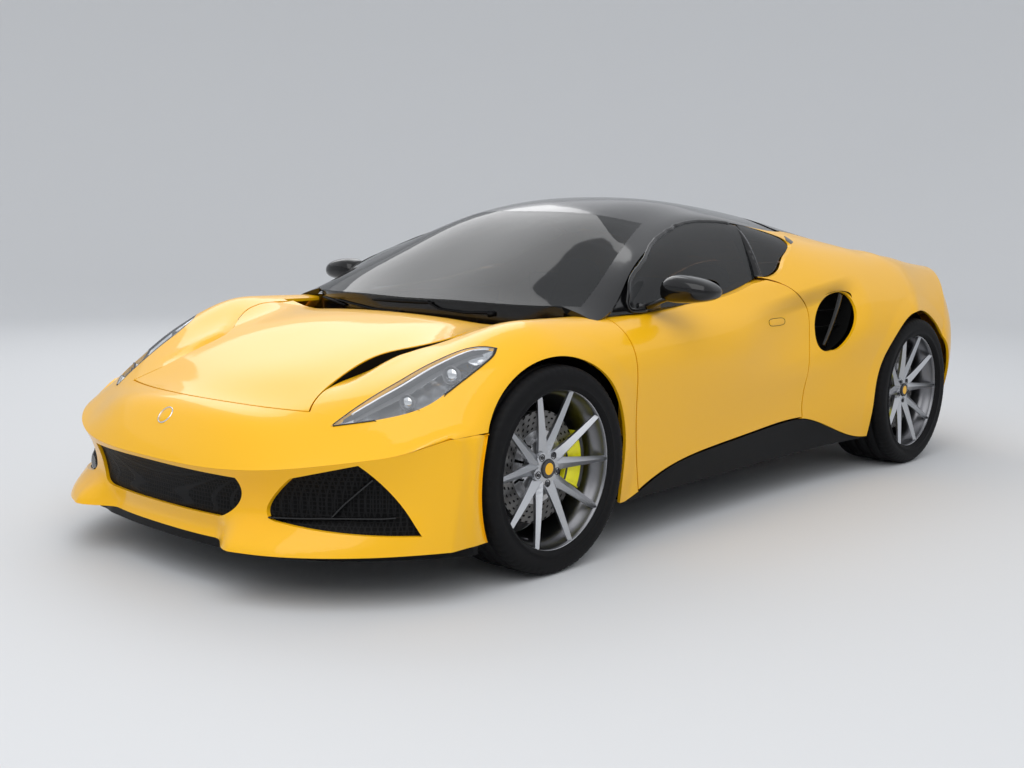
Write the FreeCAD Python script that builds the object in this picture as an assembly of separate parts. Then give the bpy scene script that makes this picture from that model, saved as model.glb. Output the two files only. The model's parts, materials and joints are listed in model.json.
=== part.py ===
import FreeCAD, Part
import bisect
import math
import os

from FreeCAD import Vector

# A two-seat mid-engined coupe. The nose points to -Y, the car's left is +X, up is +Z,
# and the origin is on the ground under the middle of the body. All sizes are millimetres.

# Driving dimensions of the whole car.
LENGTH = 4412.0
HALF_WIDTH = 947.5
HEIGHT = 1226.0
WHEELBASE = 2575.0
FRONT_OVERHANG = 925.0
LIP_SETBACK = 70.0
LID_CORNER_RADIUS = 24.0

NOSE_Y = -LENGTH / 2
TAIL_Y = LENGTH / 2
FRONT_AXLE_Y = NOSE_Y + FRONT_OVERHANG
REAR_AXLE_Y = FRONT_AXLE_Y + WHEELBASE

# Plan view of the two ends: depth of each rounded end, its width share and its power.
NOSE_SWEEP = 720.0
TAIL_SWEEP = 850.0
SWEEP_WIDTH_SHARE = 1.03
SWEEP_POWER = 2.5
FADE_SHARE = 1.3

# Panels, gaps and clearances.
PANEL_WALL = 12.0
ROOF_WALL = 22.0
GLASS_WALL = 5.0
DOOR_DEPTH = 80.0
DOOR_RELIEF = 24.0
DOOR_RELIEF_STATION_SHARE = 1.27
SEAM = 0.4
SWING_GAP = 6.0
RUNNING_GAP = 0.05
OVERRUN = 400.0
GRID_STEP_SHARE = 0.05
CURVE_POINTS = 9

# Wheels, tyres and brakes.
FRONT_TRACK = 1620.0
REAR_TRACK = 1594.0
FRONT_TYRE_RADIUS = 340.0
REAR_TYRE_RADIUS = 343.0
FRONT_TYRE_WIDTH = 245.0
REAR_TYRE_WIDTH = 285.0
RIM_RADIUS = 272.0
RIM_WALL = 9.0
RIM_LIP = 14.0
SPOKE_DEPTH = 24.0
HUB_RADIUS = 78.0
HUB_SINK = 42.0
PAIR_COUNT = 5
DISC_RADIUS = 185.0
DISC_WALL = 30.0
HAT_RADIUS = 95.0
STUB_RADIUS = 30.0
ARCH_FRONT_RADIUS = 368.0
ARCH_REAR_RADIUS = 380.0
LINER_RADIUS = 402.0
LINER_WALL = 4.0
LINER_INNER_X = 490.0

# Front steering: the kingpin, its eyes and the suspension arms.
KINGPIN_X = 730.0
KINGPIN_RADIUS = 9.0
KINGPIN_REACH = 140.0
ARM_WALL = 26.0
ARM_BASE = 150.0
RAIL_WALL = 80.0

# Door hinges.
HINGE_X = 880.0
HINGE_STATION_SHARE = 1.187
HINGE_PIN_RADIUS = 5.0
HINGE_PIN_LENGTH = 70.0
HINGE_ARM_HEIGHT = 34.0
HINGE_ARM_WIDTH = 16.0
HINGE_HEIGHT_SHARES = [0.3, 0.53]
DOOR_REAR_SHARE = 1.6466
FUZZ = 0.01

# Hood and rear lid hinges.
HOOD_REAR_SHARE = 1.0586
HOOD_AXIS_INSET = 10.0
HOOD_AXIS_DROP = 26.0
HOOD_HINGE_X = 300.0
LUG_WIDTH = 12.0
LUG_RADIUS = 10.0
LID_FRONT_SHARE = 1.735
LID_AXIS_DROP = 26.0
LID_GAP = 20.0
LAMP_BODY_DEPTH = 40.0

# The tub, its rails and what stands in it.
FLOOR_Z = 135.0
FLOOR_WALL = 30.0
TUB_HALF_WIDTH = 760.0
SILL_WIDTH = 130.0
SILL_TOP = 400.0
TUB_FRONT_SHARE = 1.16
TUB_REAR_SHARE = 1.69
BULKHEAD_WALL = 30.0
TUNNEL_HALF_WIDTH = 110.0
TUNNEL_TOP = 330.0
POST_WIDTH = 90.0
FRONT_BULKHEAD_TOP = 700.0
REAR_BULKHEAD_TOP = 860.0
RAIL_Z = 300.0
RAIL_HEIGHT = 110.0
SEAT_X = 360.0
SEAT_WIDTH = 500.0
WHEEL_RING_RADIUS = 178.0
WHEEL_RING_WALL = 15.0
COLUMN_TILT = 24.0
RING_STATION_SHARE = 1.34
RING_HEIGHT_SHARE = 0.57
COLUMN_LENGTH = 190.0
COLUMN_GAP = 8.0
NOSE_CLEARANCE = 190.0
TAIL_CLEARANCE = 260.0
LINER_OUTER_X = 835.0
LINER_LOW_Z = 190.0

# Wheel spokes and calipers.
SPOKE_ROOT_SHARE = 0.35
SPOKE_TIP_SHARE = 1.0
SPOKE_ROOT_WIDTH = 30.0
SPOKE_TIP_WIDTH = 20.0
RIM_SEAT_SHARE = 0.42
CALIPER_INNER = 118.0
CALIPER_OUTER = 207.0
CALIPER_WALL = 18.0

# The front fascia, its lower lip and what stands in its openings.
SIDE_PLACE_SHARE = 0.3
CORNER_REACH_SHARE = 0.1
FACE_END_SHARE = 0.9
FACE_FADE_SHARE = 0.35
CORNER_FADE_SHARE = 0.2
LIP_OUT_SHARE = 0.055
LIP_IN_SHARE = 0.047
LIP_STEP_SHARES = (0.3, 0.45)
LIP_FULL_SHARE = 0.5
LIP_START_SHARE = 0.55
LIP_BLEND_SHARE = 0.4
PROBE = 1.0
MESH_OVERLAP = 14.0
MESH_WALL = 5.0
SPLITTER_WALL = 26.0
SPLITTER_SETBACK = 90.0

# The channel beside the hood and the hollow ahead of the side intake.
VENT_DEPTH = 38.0
VENT_STATION_SHARES = (0.3, 0.6, 0.88)
CHANNEL_SHARE = 0.1
SCALLOP_DEPTH = 42.0
SCALLOP_STATION_SHARES = (1.4, 1.66, 1.79)
SCALLOP_PLACE_SHARE = 0.4
SCALLOP_SPREAD_SHARE = 0.13

# The tail.
TAIL_LOW_SHARE = 0.235
TAIL_FADE_SHARE = 0.3
TAIL_SIDE_SHARE = 0.35
LAMP_DEPTH = 30.0
PIPE_RADIUS = 46.0
PIPE_WALL = 4.0
PIPE_X = 380.0
PIPE_Z_SHARE = 0.25
PIPE_LENGTH = 150.0
FIN_COUNT = 6
FIN_WALL = 8.0
FIN_HEIGHT = 90.0
DIFFUSER_HALF_SHARE = 0.72

# Mirrors and wipers.
MIRROR_STATION_SHARE = 1.265
MIRROR_Z = 905.0
MIRROR_FOOT_X = 800.0
MIRROR_ARM = 24.0
MIRROR_INNER_X = 835.0
MIRROR_LENGTH = 211.0
MIRROR_DEPTH = 140.0
MIRROR_HEIGHT = 84.0
PIVOT_RADIUS = 9.0
WIPER_ARM_RADIUS = 6.0
BLADE_WIDTH = 16.0
BLADE_WALL = 12.0


def natural_bends(knots, values):
    """Second derivatives of the natural cubic spline through the values."""
    count = len(knots)
    steps = [knots[i + 1] - knots[i] for i in range(count - 1)]
    low, main, rhs = [0.0] * count, [1.0] * count, [0.0] * count
    for i in range(1, count - 1):
        main[i] = 2 * (steps[i - 1] + steps[i])
        low[i] = steps[i - 1]
        rise = (values[i + 1] - values[i]) / steps[i] - (values[i] - values[i - 1]) / steps[i - 1]
        rhs[i] = 6 * rise
    for i in range(2, count - 1):
        ratio = low[i] / main[i - 1]
        main[i] -= ratio * steps[i - 1]
        rhs[i] -= ratio * rhs[i - 1]
    bends = [0.0] * count
    for i in range(count - 2, 0, -1):
        bends[i] = (rhs[i] - steps[i] * bends[i + 1]) / main[i]
    return bends


class Spline:
    """A natural cubic spline, run on straight past its ends."""

    def __init__(self, knots, values):
        self.knots, self.values = list(knots), list(values)
        self.bends = natural_bends(self.knots, self.values)

    def __call__(self, t):
        knots, values, bends = self.knots, self.values, self.bends
        i = min(max(bisect.bisect_right(knots, t) - 1, 0), len(knots) - 2)
        step = knots[i + 1] - knots[i]
        a, b = (knots[i + 1] - t) / step, (t - knots[i]) / step
        if t < knots[0]:
            slope = (values[1] - values[0]) / step - step * bends[1] / 6
            return values[0] + slope * (t - knots[0])
        if t > knots[-1]:
            slope = (values[-1] - values[-2]) / step + step * bends[-2] / 6
            return values[-1] + slope * (t - knots[-1])
        cubic = (a**3 - a) * bends[i] + (b**3 - b) * bends[i + 1]
        return a * values[i] + b * values[i + 1] + cubic * step * step / 6


# Rails that run from nose to tail: (station, width share, height share).
# Station 0 is the nose, 1 the front axle, 2 the rear axle, 3 the tail.
BODY_SHARES = {
    "bottom": [(0, 0.968, 0.135), (0.6, 0.965, 0.135), (1, 0.955, 0.14), (1.2, 0.93, 0.135), (1.5, 0.905, 0.135),
               (1.75, 0.91, 0.135), (2, 0.975, 0.14), (2.4, 0.975, 0.16), (3, 0.965, 0.2)],
    "low": [(0, 0.976, 0.27), (1, 0.978, 0.27), (1.2, 0.945, 0.27), (1.35, 0.92, 0.27), (1.5, 0.903, 0.27),
            (1.65, 0.905, 0.27), (1.8, 0.95, 0.27), (2, 0.99, 0.275), (2.4, 0.985, 0.29), (3, 0.98, 0.31)],
    "side": [(0, 0.97, 0.41), (0.6, 0.98, 0.42), (1, 0.987, 0.43), (1.2, 0.965, 0.43), (1.35, 0.95, 0.43),
             (1.5, 0.935, 0.43), (1.65, 0.935, 0.43), (1.8, 0.965, 0.43), (2, 1.0, 0.44), (2.4, 0.995, 0.45),
             (3, 0.98, 0.46)],
    "shoulder": [(0, 0.905, 0.385), (0.35, 0.94, 0.5), (0.6, 0.955, 0.545), (1, 0.965, 0.57), (1.2, 0.96, 0.57),
                 (1.35, 0.95, 0.575), (1.5, 0.945, 0.58), (1.65, 0.955, 0.585), (1.8, 0.975, 0.59),
                 (2, 0.985, 0.605), (2.4, 0.975, 0.61), (3, 0.93, 0.6)],
    "crest": [(0, 0.78, 0.36), (0.2, 0.82, 0.46), (0.4, 0.83, 0.545), (0.6, 0.83, 0.6), (1, 0.83, 0.657),
              (1.2, 0.84, 0.65), (1.35, 0.845, 0.668), (1.5, 0.84, 0.705), (1.6, 0.835, 0.725), (1.7, 0.84, 0.75),
              (1.8, 0.84, 0.765), (2, 0.82, 0.775), (2.3, 0.8, 0.765), (2.6, 0.78, 0.745), (3, 0.76, 0.72)],
    "inner": [(0, 0.58, 0.335), (0.2, 0.61, 0.45), (0.4, 0.61, 0.522), (0.6, 0.61, 0.573), (1, 0.59, 0.632),
              (1.2, 0.62, 0.66), (1.4, 0.65, 0.78), (1.6, 0.635, 0.885), (1.7, 0.61, 0.888), (1.8, 0.6, 0.869),
              (1.9, 0.6, 0.84), (2, 0.59, 0.8), (2.3, 0.57, 0.77), (2.6, 0.55, 0.75), (3, 0.53, 0.727)],
    "ridge": [(0, 0.32, 0.32), (0.08, 0.32, 0.41), (0.2, 0.33, 0.453), (0.4, 0.33, 0.512), (0.6, 0.33, 0.565),
              (1, 0.32, 0.632), (1.2, 0.34, 0.68), (1.4, 0.35, 0.86), (1.6, 0.35, 0.965), (1.7, 0.35, 0.95),
              (1.8, 0.35, 0.917), (2, 0.34, 0.828), (2.3, 0.33, 0.79), (2.6, 0.32, 0.76), (3, 0.31, 0.733)],
    "middle": [(0, 0, 0.318), (0.08, 0, 0.416), (0.2, 0, 0.461), (0.35, 0, 0.502), (0.6, 0, 0.563),
               (1, 0, 0.636), (1.2, 0, 0.69), (1.4, 0, 0.88), (1.6, 0, 0.995), (1.7, 0, 0.975), (1.8, 0, 0.938),
               (2, 0, 0.836), (2.3, 0, 0.796), (2.6, 0, 0.765), (3, 0, 0.735)],
}
BODY_PLACE_SHARES = [0.0, 0.14, 0.3, 0.43, 0.55, 0.7, 0.86, 1.0]

# The cabin's upper shell: from under the belt over the roof.
CABIN_SHARES = {
    "under": [(1.04, 0.887, 0.571), (1.1, 0.876, 0.604), (1.15, 0.865, 0.628), (1.23, 0.85, 0.653),
              (1.33, 0.85, 0.653), (1.5, 0.85, 0.653), (1.6, 0.844, 0.677), (1.7, 0.844, 0.718), (1.8, 0.844, 0.745)],
    "glass": [(1.04, 0.855, 0.595), (1.1, 0.86, 0.624), (1.15, 0.855, 0.644), (1.23, 0.807, 0.706),
              (1.33, 0.76, 0.767), (1.4, 0.739, 0.791), (1.5, 0.728, 0.799), (1.6, 0.728, 0.803),
              (1.7, 0.728, 0.816), (1.8, 0.728, 0.816)],
    "rail": [(1.04, 0.834, 0.616), (1.1, 0.844, 0.64), (1.15, 0.844, 0.661), (1.23, 0.77, 0.758),
             (1.33, 0.675, 0.845), (1.4, 0.617, 0.889), (1.5, 0.575, 0.922), (1.6, 0.586, 0.914),
             (1.7, 0.612, 0.885), (1.8, 0.612, 0.865)],
    "edge": [(1.04, 0.786, 0.624), (1.1, 0.786, 0.653), (1.15, 0.755, 0.693), (1.23, 0.675, 0.779),
             (1.33, 0.575, 0.873), (1.4, 0.522, 0.918), (1.5, 0.485, 0.95), (1.6, 0.496, 0.942),
             (1.7, 0.507, 0.918), (1.8, 0.507, 0.893)],
    "crown": [(1.04, 0.38, 0.653), (1.1, 0.38, 0.706), (1.15, 0.38, 0.759), (1.23, 0.369, 0.84),
              (1.33, 0.338, 0.926), (1.4, 0.317, 0.9625), (1.5, 0.296, 0.987), (1.6, 0.296, 0.979),
              (1.7, 0.296, 0.958), (1.8, 0.296, 0.93)],
    "middle": [(1.04, 0, 0.657), (1.1, 0, 0.718), (1.15, 0, 0.771), (1.23, 0, 0.856), (1.33, 0, 0.942),
               (1.4, 0, 0.977), (1.5, 0, 1.0), (1.6, 0, 0.993), (1.7, 0, 0.975), (1.8, 0, 0.948)],
}
CABIN_PLACE_SHARES = [0.0, 0.22, 0.42, 0.54, 0.76, 1.0]


def station_y(q):
    """The place along the car of a station, by the axles and the two ends."""
    if q < 1:
        return NOSE_Y + q * (FRONT_AXLE_Y - NOSE_Y)
    if q < 2:
        return FRONT_AXLE_Y + (q - 1) * WHEELBASE
    return REAR_AXLE_Y + (q - 2) * (TAIL_Y - LIP_SETBACK - REAR_AXLE_Y)


def sweep(x, depth):
    """How far a rounded end lies behind its middle at half width x."""
    share = min(abs(x) / (SWEEP_WIDTH_SHARE * HALF_WIDTH), 1.0)
    return depth * (1 - math.sqrt(1 - share**SWEEP_POWER))


def fade(t):
    """One at zero, nothing from one on, level at both ends."""
    t = min(max(t, 0.0), 1.0)
    return (1 - t) ** 2 * (1 + 2 * t)


def rise(t):
    """Nothing at zero, one from one on, level at both ends."""
    return 1 - fade(t)


class Skin:
    """A surface through rails: q runs along the car, v across it from left to right."""

    def __init__(self, table, places, rounded, hollow=None):
        self.rails = []
        self.hollow = hollow
        for rows in table.values():
            stations = [row[0] for row in rows]
            across = Spline(stations, [row[1] for row in rows])
            up = Spline(stations, [row[2] for row in rows])
            self.rails.append((across, up))
        self.places = places + [2 - place for place in reversed(places[:-1])]
        self.rounded = rounded
        self.sections = {}

    def section(self, q):
        key = round(q, 6)
        if key not in self.sections:
            half = [(across(q) * HALF_WIDTH, up(q) * HEIGHT) for across, up in self.rails]
            half[-1] = (0.0, half[-1][1])
            far = [(-x, z) for x, z in reversed(half[:-1])]
            both = half + far
            self.sections[key] = (Spline(self.places, [p[0] for p in both]), Spline(self.places, [p[1] for p in both]))
        return self.sections[key]

    def point(self, q, v):
        across, up = self.section(q)
        x = across(v)
        y = station_y(q)
        if self.rounded:
            y += fade(q / FADE_SHARE) * sweep(x, NOSE_SWEEP)
            y -= fade((3 - q) / FADE_SHARE) * sweep(x, TAIL_SWEEP)
        if self.hollow:
            x -= math.copysign(self.hollow(q, min(v, 2 - v)), x)
        return Vector(x, y, up(v))


def scallop(q, v):
    """How deep the body's side is hollowed out ahead of the side intake."""
    start, deepest, end = SCALLOP_STATION_SHARES
    along = rise((q - start) / (deepest - start)) * fade((q - deepest) / (end - deepest))
    return SCALLOP_DEPTH * along * fade(abs(v - SCALLOP_PLACE_SHARE) / SCALLOP_SPREAD_SHARE)


BODY = Skin(BODY_SHARES, BODY_PLACE_SHARES, True, scallop)
CABIN = Skin(CABIN_SHARES, CABIN_PLACE_SHARES, False)


def spread(start, end, count):
    return [start + (end - start) * i / count for i in range(count + 1)]


def face_through(rows):
    surface = Part.BSplineSurface()
    surface.interpolate(rows)
    return surface


def closed_sheet(outer, inner):
    """A solid between two grids of points with the same rows and columns."""
    top, under = face_through(outer), face_through(inner)
    u0, u1, v0, v1 = top.bounds()
    a0, a1, b0, b1 = under.bounds()
    faces = [top.toShape(), under.toShape()]
    pairs = [(top.uIso(u0), under.uIso(a0)), (top.uIso(u1), under.uIso(a1)),
             (top.vIso(v0), under.vIso(b0)), (top.vIso(v1), under.vIso(b1))]
    for first, second in pairs:
        faces.append(Part.makeRuledSurface(first.toShape(), second.toShape()))
    shell = Part.Shell(faces)
    shell.sewShape()
    solid = Part.Solid(shell)
    if solid.Volume < 0:
        solid.reverse()
    return solid


def normal_at(grid, i, j):
    last_i, last_j = len(grid) - 1, len(grid[0]) - 1
    along = grid[min(i + 1, last_i)][j] - grid[max(i - 1, 0)][j]
    across = grid[i][min(j + 1, last_j)] - grid[i][max(j - 1, 0)]
    return along.cross(across).normalize()


def sheet(point, us, vs, wall, outset=0.0, level_start=False, level_sides=False, level_all=False):
    """A curved sheet: the surface point(u, v), moved out by outset, and a wall under it.

    Where an end is level, its narrow face lies flat, so that another sheet can meet it there.
    """
    grid = [[point(u, v) for v in vs] for u in us]
    outer, inner = [], []
    for i, row in enumerate(grid):
        outer_row, inner_row = [], []
        for j, place in enumerate(row):
            normal = normal_at(grid, i, j)
            on_side = level_sides and j in (0, len(row) - 1)
            if (level_start and i == 0) or on_side or level_all:
                normal = Vector(normal.x, normal.y, 0).normalize()
            outer_row.append(place + normal * outset)
            inner_row.append(place + normal * (outset - wall))
        outer.append(outer_row)
        inner.append(inner_row)
    return closed_sheet(outer, inner)


def side_slab(point, us, vs, depth, outset=0.0):
    """A thick side panel: the surface, and the same surface moved towards the car's middle."""
    grid = [[point(u, v) for v in vs] for u in us]
    outer = [[p + Vector(outset, 0, 0) for p in row] for row in grid]
    inner = [[p + Vector(outset - depth, 0, 0) for p in row] for row in grid]
    return closed_sheet(outer, inner)


def wire_of(runs):
    """A closed wire: a run of two points is straight, a longer one is a smooth curve."""
    edges = []
    for run in runs:
        if len(run) == 2:
            edges.append(Part.makeLine(run[0], run[1]))
        else:
            curve = Part.BSplineCurve()
            curve.interpolate(run)
            edges.append(curve.toShape())
    return Part.Wire(edges)


def grown(wire, distance):
    """A flat outline moved outwards by a distance, rebuilt from lines and smooth curves."""
    moved = wire.makeOffset2D(distance)
    corners = [vertex.Point for vertex in moved.OrderedVertexes]
    runs = []
    for k, edge in enumerate(moved.OrderedEdges):
        start, end = corners[k], corners[(k + 1) % len(corners)]
        straight = isinstance(edge.Curve, Part.Line)
        places = edge.discretize(CURVE_POINTS)
        if (places[0] - start).Length > (places[-1] - start).Length:
            places.reverse()
        inner = [] if straight else places[1:-1]
        runs.append([start] + inner + [end])
    return wire_of(runs)


def prism(runs, direction, grow=0.0):
    wire = wire_of(runs)
    if grow:
        wire = grown(wire, grow)
    return Part.Face(wire).extrude(direction)


def joined_runs(places):
    """Runs from lists of places: the first list is the start, and each later one goes on from the last place."""
    runs = []
    start = places[0][0]
    for places_of_run in places[1:]:
        runs.append([start] + places_of_run)
        start = places_of_run[-1]
    return runs


def from_side(places, x):
    """Places given as (station, height share), put on the plane at x."""
    return [[Vector(x, station_y(q), h * HEIGHT) for q, h in run] for run in places]


def from_above(places, z, side=1):
    """Places given as (width share, station), put on the plane at z."""
    return [[Vector(side * w * HALF_WIDTH, station_y(q), z) for w, q in run] for run in places]


def from_front(places, y, side=1):
    """Places given as (width share, height share), put on the plane at y."""
    return [[Vector(side * w * HALF_WIDTH, y, h * HEIGHT) for w, h in run] for run in places]


def side_prism(places, grow=0.0, inner_x=0.0):
    runs = joined_runs(from_side(places, inner_x))
    return prism(runs, Vector(HALF_WIDTH + OVERRUN - inner_x, 0, 0), grow)


def top_prism(places, grow=0.0, low=0.0, side=1):
    runs = joined_runs(from_above(places, low, side))
    return prism(runs, Vector(0, 0, HEIGHT + OVERRUN - low), grow)


def front_prism(places, start_y, end_y, grow=0.0, side=1):
    runs = joined_runs(from_front(places, start_y, side))
    return prism(runs, Vector(0, end_y - start_y, 0), grow)


def mirrored(shape):
    return shape.mirror(Vector(0, 0, 0), Vector(1, 0, 0))


def box(low, high):
    size = high - low
    return Part.makeBox(size.x, size.y, size.z, low)


def fused(shapes):
    whole = shapes[0]
    for shape in shapes[1:]:
        whole = whole.fuse(shape)
    return whole.removeSplitter()


def arch(axle_y, centre_z, radius):
    """The round wheel opening through both sides, open downwards."""
    width = 2 * (HALF_WIDTH + OVERRUN)
    start = Vector(-width / 2, axle_y, centre_z)
    drum = Part.makeCylinder(radius, width, start, Vector(1, 0, 0))
    slot = box(Vector(-width / 2, axle_y - radius, -OVERRUN), Vector(width / 2, axle_y + radius, centre_z))
    return drum.fuse(slot)


# Outlines seen from the side: (station, height share).
DOOR_SHARES = [
    [(1.155, 0.655)],
    [(1.158, 0.5), (1.164, 0.37), (1.186, 0.161)],
    [(1.24, 0.197), (1.37, 0.231), (1.505, 0.247), (1.6, 0.258), (1.645, 0.258)],
    [(1.6466, 0.49), (1.641, 0.63), (1.62, 0.692), (1.585, 0.722), (1.554, 0.735)],
    [(1.5, 0.71), (1.43, 0.687), (1.3, 0.668), (1.155, 0.655)],
]
DOOR_GLASS_SHARES = [
    [(1.205, 0.6655)],
    [(1.225, 0.742), (1.27, 0.79), (1.33, 0.845), (1.4, 0.889), (1.45, 0.91), (1.51, 0.9195), (1.6, 0.909)],
    [(1.588, 0.87), (1.57, 0.8), (1.5545, 0.7365)],
    [(1.5, 0.7115), (1.43, 0.6885), (1.3, 0.6695), (1.205, 0.6655)],
]
QUARTER_GLASS_SHARES = [
    [(1.563, 0.74)],
    [(1.578, 0.8), (1.597, 0.87), (1.608, 0.909)],
    [(1.645, 0.899), (1.68, 0.883), (1.706, 0.866)],
    [(1.7107, 0.858), (1.6625, 0.802), (1.6252, 0.762), (1.5934, 0.742), (1.563, 0.74)],
]
SILL_LINE_SHARES = [
    [(1.14, -0.2)],
    [(1.14, 0.13)],
    [(1.186, 0.156), (1.24, 0.192), (1.37, 0.226), (1.505, 0.242), (1.6, 0.253), (1.645, 0.252), (1.71, 0.218),
     (1.8, 0.155), (1.87, 0.14)],
    [(1.87, -0.2)],
    [(1.14, -0.2)],
]
INTAKE_SHARES = [
    [(1.665, 0.555)],
    [(1.67, 0.62), (1.705, 0.668), (1.75, 0.677)],
    [(1.772, 0.65), (1.76, 0.54), (1.713, 0.48)],
    [(1.68, 0.49), (1.665, 0.555)],
]

# Outlines seen from above: (width share, station).
HOOD_SHARES = [
    [(0.515, 0.284)],
    [(0.475, 0.35), (0.447, 0.49), (0.45, 0.65), (0.54, 0.77), (0.625, 0.88), (0.66, 1.0), (0.665, 1.0586)],
    [(0.35, 1.056), (0.0, 1.055), (-0.35, 1.056), (-0.665, 1.0586)],
    [(-0.66, 1.0), (-0.625, 0.88), (-0.54, 0.77), (-0.45, 0.65), (-0.447, 0.49), (-0.475, 0.35), (-0.515, 0.284)],
    [(-0.35, 0.238), (0.0, 0.19), (0.35, 0.238), (0.515, 0.284)],
]
NOSE_SHARES = [
    [(0.515, 0.284)],
    [(0.35, 0.238), (0.0, 0.19), (-0.35, 0.238), (-0.515, 0.284)],
    [(-0.66, 0.31)],
    [(-0.76, 0.42), (-0.83, 0.53), (-0.88, 0.592), (-0.921, 0.657), (-0.95, 0.745)],
    [(-1.2, 0.75)],
    [(-1.2, -0.3)],
    [(1.2, -0.3)],
    [(1.2, 0.75)],
    [(0.95, 0.745)],
    [(0.921, 0.657), (0.88, 0.592), (0.83, 0.53), (0.76, 0.42), (0.66, 0.31)],
    [(0.515, 0.284)],
]
LAMP_SHARES = [
    [(0.631, 0.277)],
    [(0.757, 0.381), (0.835, 0.49), (0.868, 0.63), (0.876, 0.75), (0.86, 0.798)],
    [(0.78, 0.73), (0.727, 0.623), (0.697, 0.514), (0.67, 0.423), (0.631, 0.277)],
]
WINDSCREEN_SHARES = [
    [(0.755, 1.135)],
    [(0.66, 1.245), (0.575, 1.33), (0.52, 1.385)],
    [(0.35, 1.355), (0.0, 1.34), (-0.35, 1.355), (-0.52, 1.385)],
    [(-0.575, 1.33), (-0.66, 1.245), (-0.755, 1.135)],
    [(-0.55, 1.095), (-0.3, 1.074), (0.0, 1.068), (0.3, 1.074), (0.55, 1.095), (0.755, 1.135)],
]
ROOF_SIDE_SHARES = [
    [(0.575, 1.45)],
    [(0.575, 1.5), (0.586, 1.6), (0.612, 1.7), (0.59, 1.75)],
    [(-0.59, 1.75)],
    [(-0.612, 1.7), (-0.586, 1.6), (-0.575, 1.5), (-0.575, 1.45)],
    [(0.575, 1.45)],
]
COVER_SHARES = [
    [(0.585, 1.735)],
    [(0.57, 1.8), (0.6, 1.9), (0.63, 1.96)],
    [(0.45, 1.978), (0.0, 1.99), (-0.45, 1.978), (-0.63, 1.96)],
    [(-0.6, 1.9), (-0.57, 1.8), (-0.585, 1.735)],
    [(0.585, 1.735)],
]
REAR_GLASS_SHARES = [
    [(0.4, 1.76)],
    [(0.39, 1.85)],
    [(-0.39, 1.85)],
    [(-0.4, 1.76)],
    [(0.4, 1.76)],
]

# Outlines seen from the front: (width share, height share).
MOUTH_SHARES = [
    [(0.42, 0.302)],
    [(0.425, 0.265), (0.39, 0.22), (0.32, 0.193)],
    [(-0.32, 0.193)],
    [(-0.39, 0.22), (-0.425, 0.265), (-0.42, 0.302)],
    [(0.0, 0.308), (0.42, 0.302)],
]
CORNER_SHARES = [
    [(0.605, 0.313)],
    [(0.545, 0.272), (0.51, 0.227), (0.57, 0.202)],
    [(0.74, 0.188), (0.92, 0.178)],
    [(0.875, 0.25), (0.795, 0.353)],
    [(0.605, 0.313)],
]


TAIL_LAMP_SHARES = [
    [(0.45, 0.6)],
    [(0.7, 0.6), (0.84, 0.585)],
    [(0.86, 0.56)],
    [(0.7, 0.57), (0.45, 0.572)],
    [(0.45, 0.6)],
]

# The seats and the dashboard from the side: (station, height share).
SEAT_SHARES = [
    [(1.36, 0.17)],
    [(1.36, 0.27)],
    [(1.42, 0.3), (1.5, 0.28), (1.555, 0.27), (1.6, 0.34), (1.63, 0.5), (1.65, 0.68)],
    [(1.657, 0.75), (1.672, 0.74)],
    [(1.672, 0.6), (1.66, 0.4), (1.64, 0.2)],
    [(1.64, 0.17)],
    [(1.36, 0.17)],
]
DASH_SHARES = [
    [(1.175, 0.38)],
    [(1.175, 0.62)],
    [(1.21, 0.655), (1.26, 0.66), (1.3, 0.63)],
    [(1.3, 0.55), (1.27, 0.44), (1.25, 0.38)],
    [(1.175, 0.38)],
]

# The cowl from above: what it takes from the fenders, its riser and its floor.
COWL_SHARES = [
    [(-0.7, 1.05)],
    [(0.7, 1.05)],
    [(0.7, 1.124)],
    [(0.55, 1.095), (0.3, 1.074), (0.0, 1.068), (-0.3, 1.074), (-0.55, 1.095), (-0.7, 1.124)],
    [(-0.7, 1.05)],
]
COWL_RISER_SHARES = [
    [(-0.695, 1.126)],
    [(-0.55, 1.098), (-0.3, 1.077), (0.0, 1.071), (0.3, 1.077), (0.55, 1.098), (0.695, 1.126)],
    [(0.695, 1.132)],
    [(0.55, 1.104), (0.3, 1.082), (0.0, 1.076), (-0.3, 1.082), (-0.55, 1.104), (-0.695, 1.132)],
    [(-0.695, 1.126)],
]
COWL_FLOOR_SHARES = [
    [(-0.695, 1.062)],
    [(0.695, 1.062)],
    [(0.695, 1.13)],
    [(0.55, 1.101), (0.3, 1.08), (0.0, 1.074), (-0.3, 1.08), (-0.55, 1.101), (-0.695, 1.13)],
    [(-0.695, 1.062)],
]

# The engine's block: its half width, where it starts and ends, and its floor and top.
ENGINE_SHARES = ((0.36, 1.715, 0.2), (1.95, 0.66))

# A mirror's housing from its inner end to its tip: place, depth and height.
MIRROR_SHARES = [(0.0, 0.5, 0.42), (0.12, 0.88, 0.86), (0.4, 1.0, 1.0), (0.69, 0.88, 0.9), (0.92, 0.5, 0.52),
                 (1.0, 0.15, 0.15)]
OVAL_STEPS = 12

# Each wiper: its spindle, the two ends of its blade across and along the glass, and where its arm holds it.
WIPER_SHARES = ((0.3, 1.0722, 0.62, 0.88, 1.112, 1.088, 0.35), (-0.3, 1.0722, 0.94, 1.2, 1.088, 1.095, 0.35))


def body_sheet(q0, q1, v0, v1, wall=PANEL_WALL, level=False):
    rows = max(4, round((q1 - q0) / GRID_STEP_SHARE))
    columns = max(4, round((v1 - v0) / GRID_STEP_SHARE))
    return sheet(BODY.point, spread(q0, q1, rows), spread(v0, v1, columns), wall, 0.0, level, level)


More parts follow.
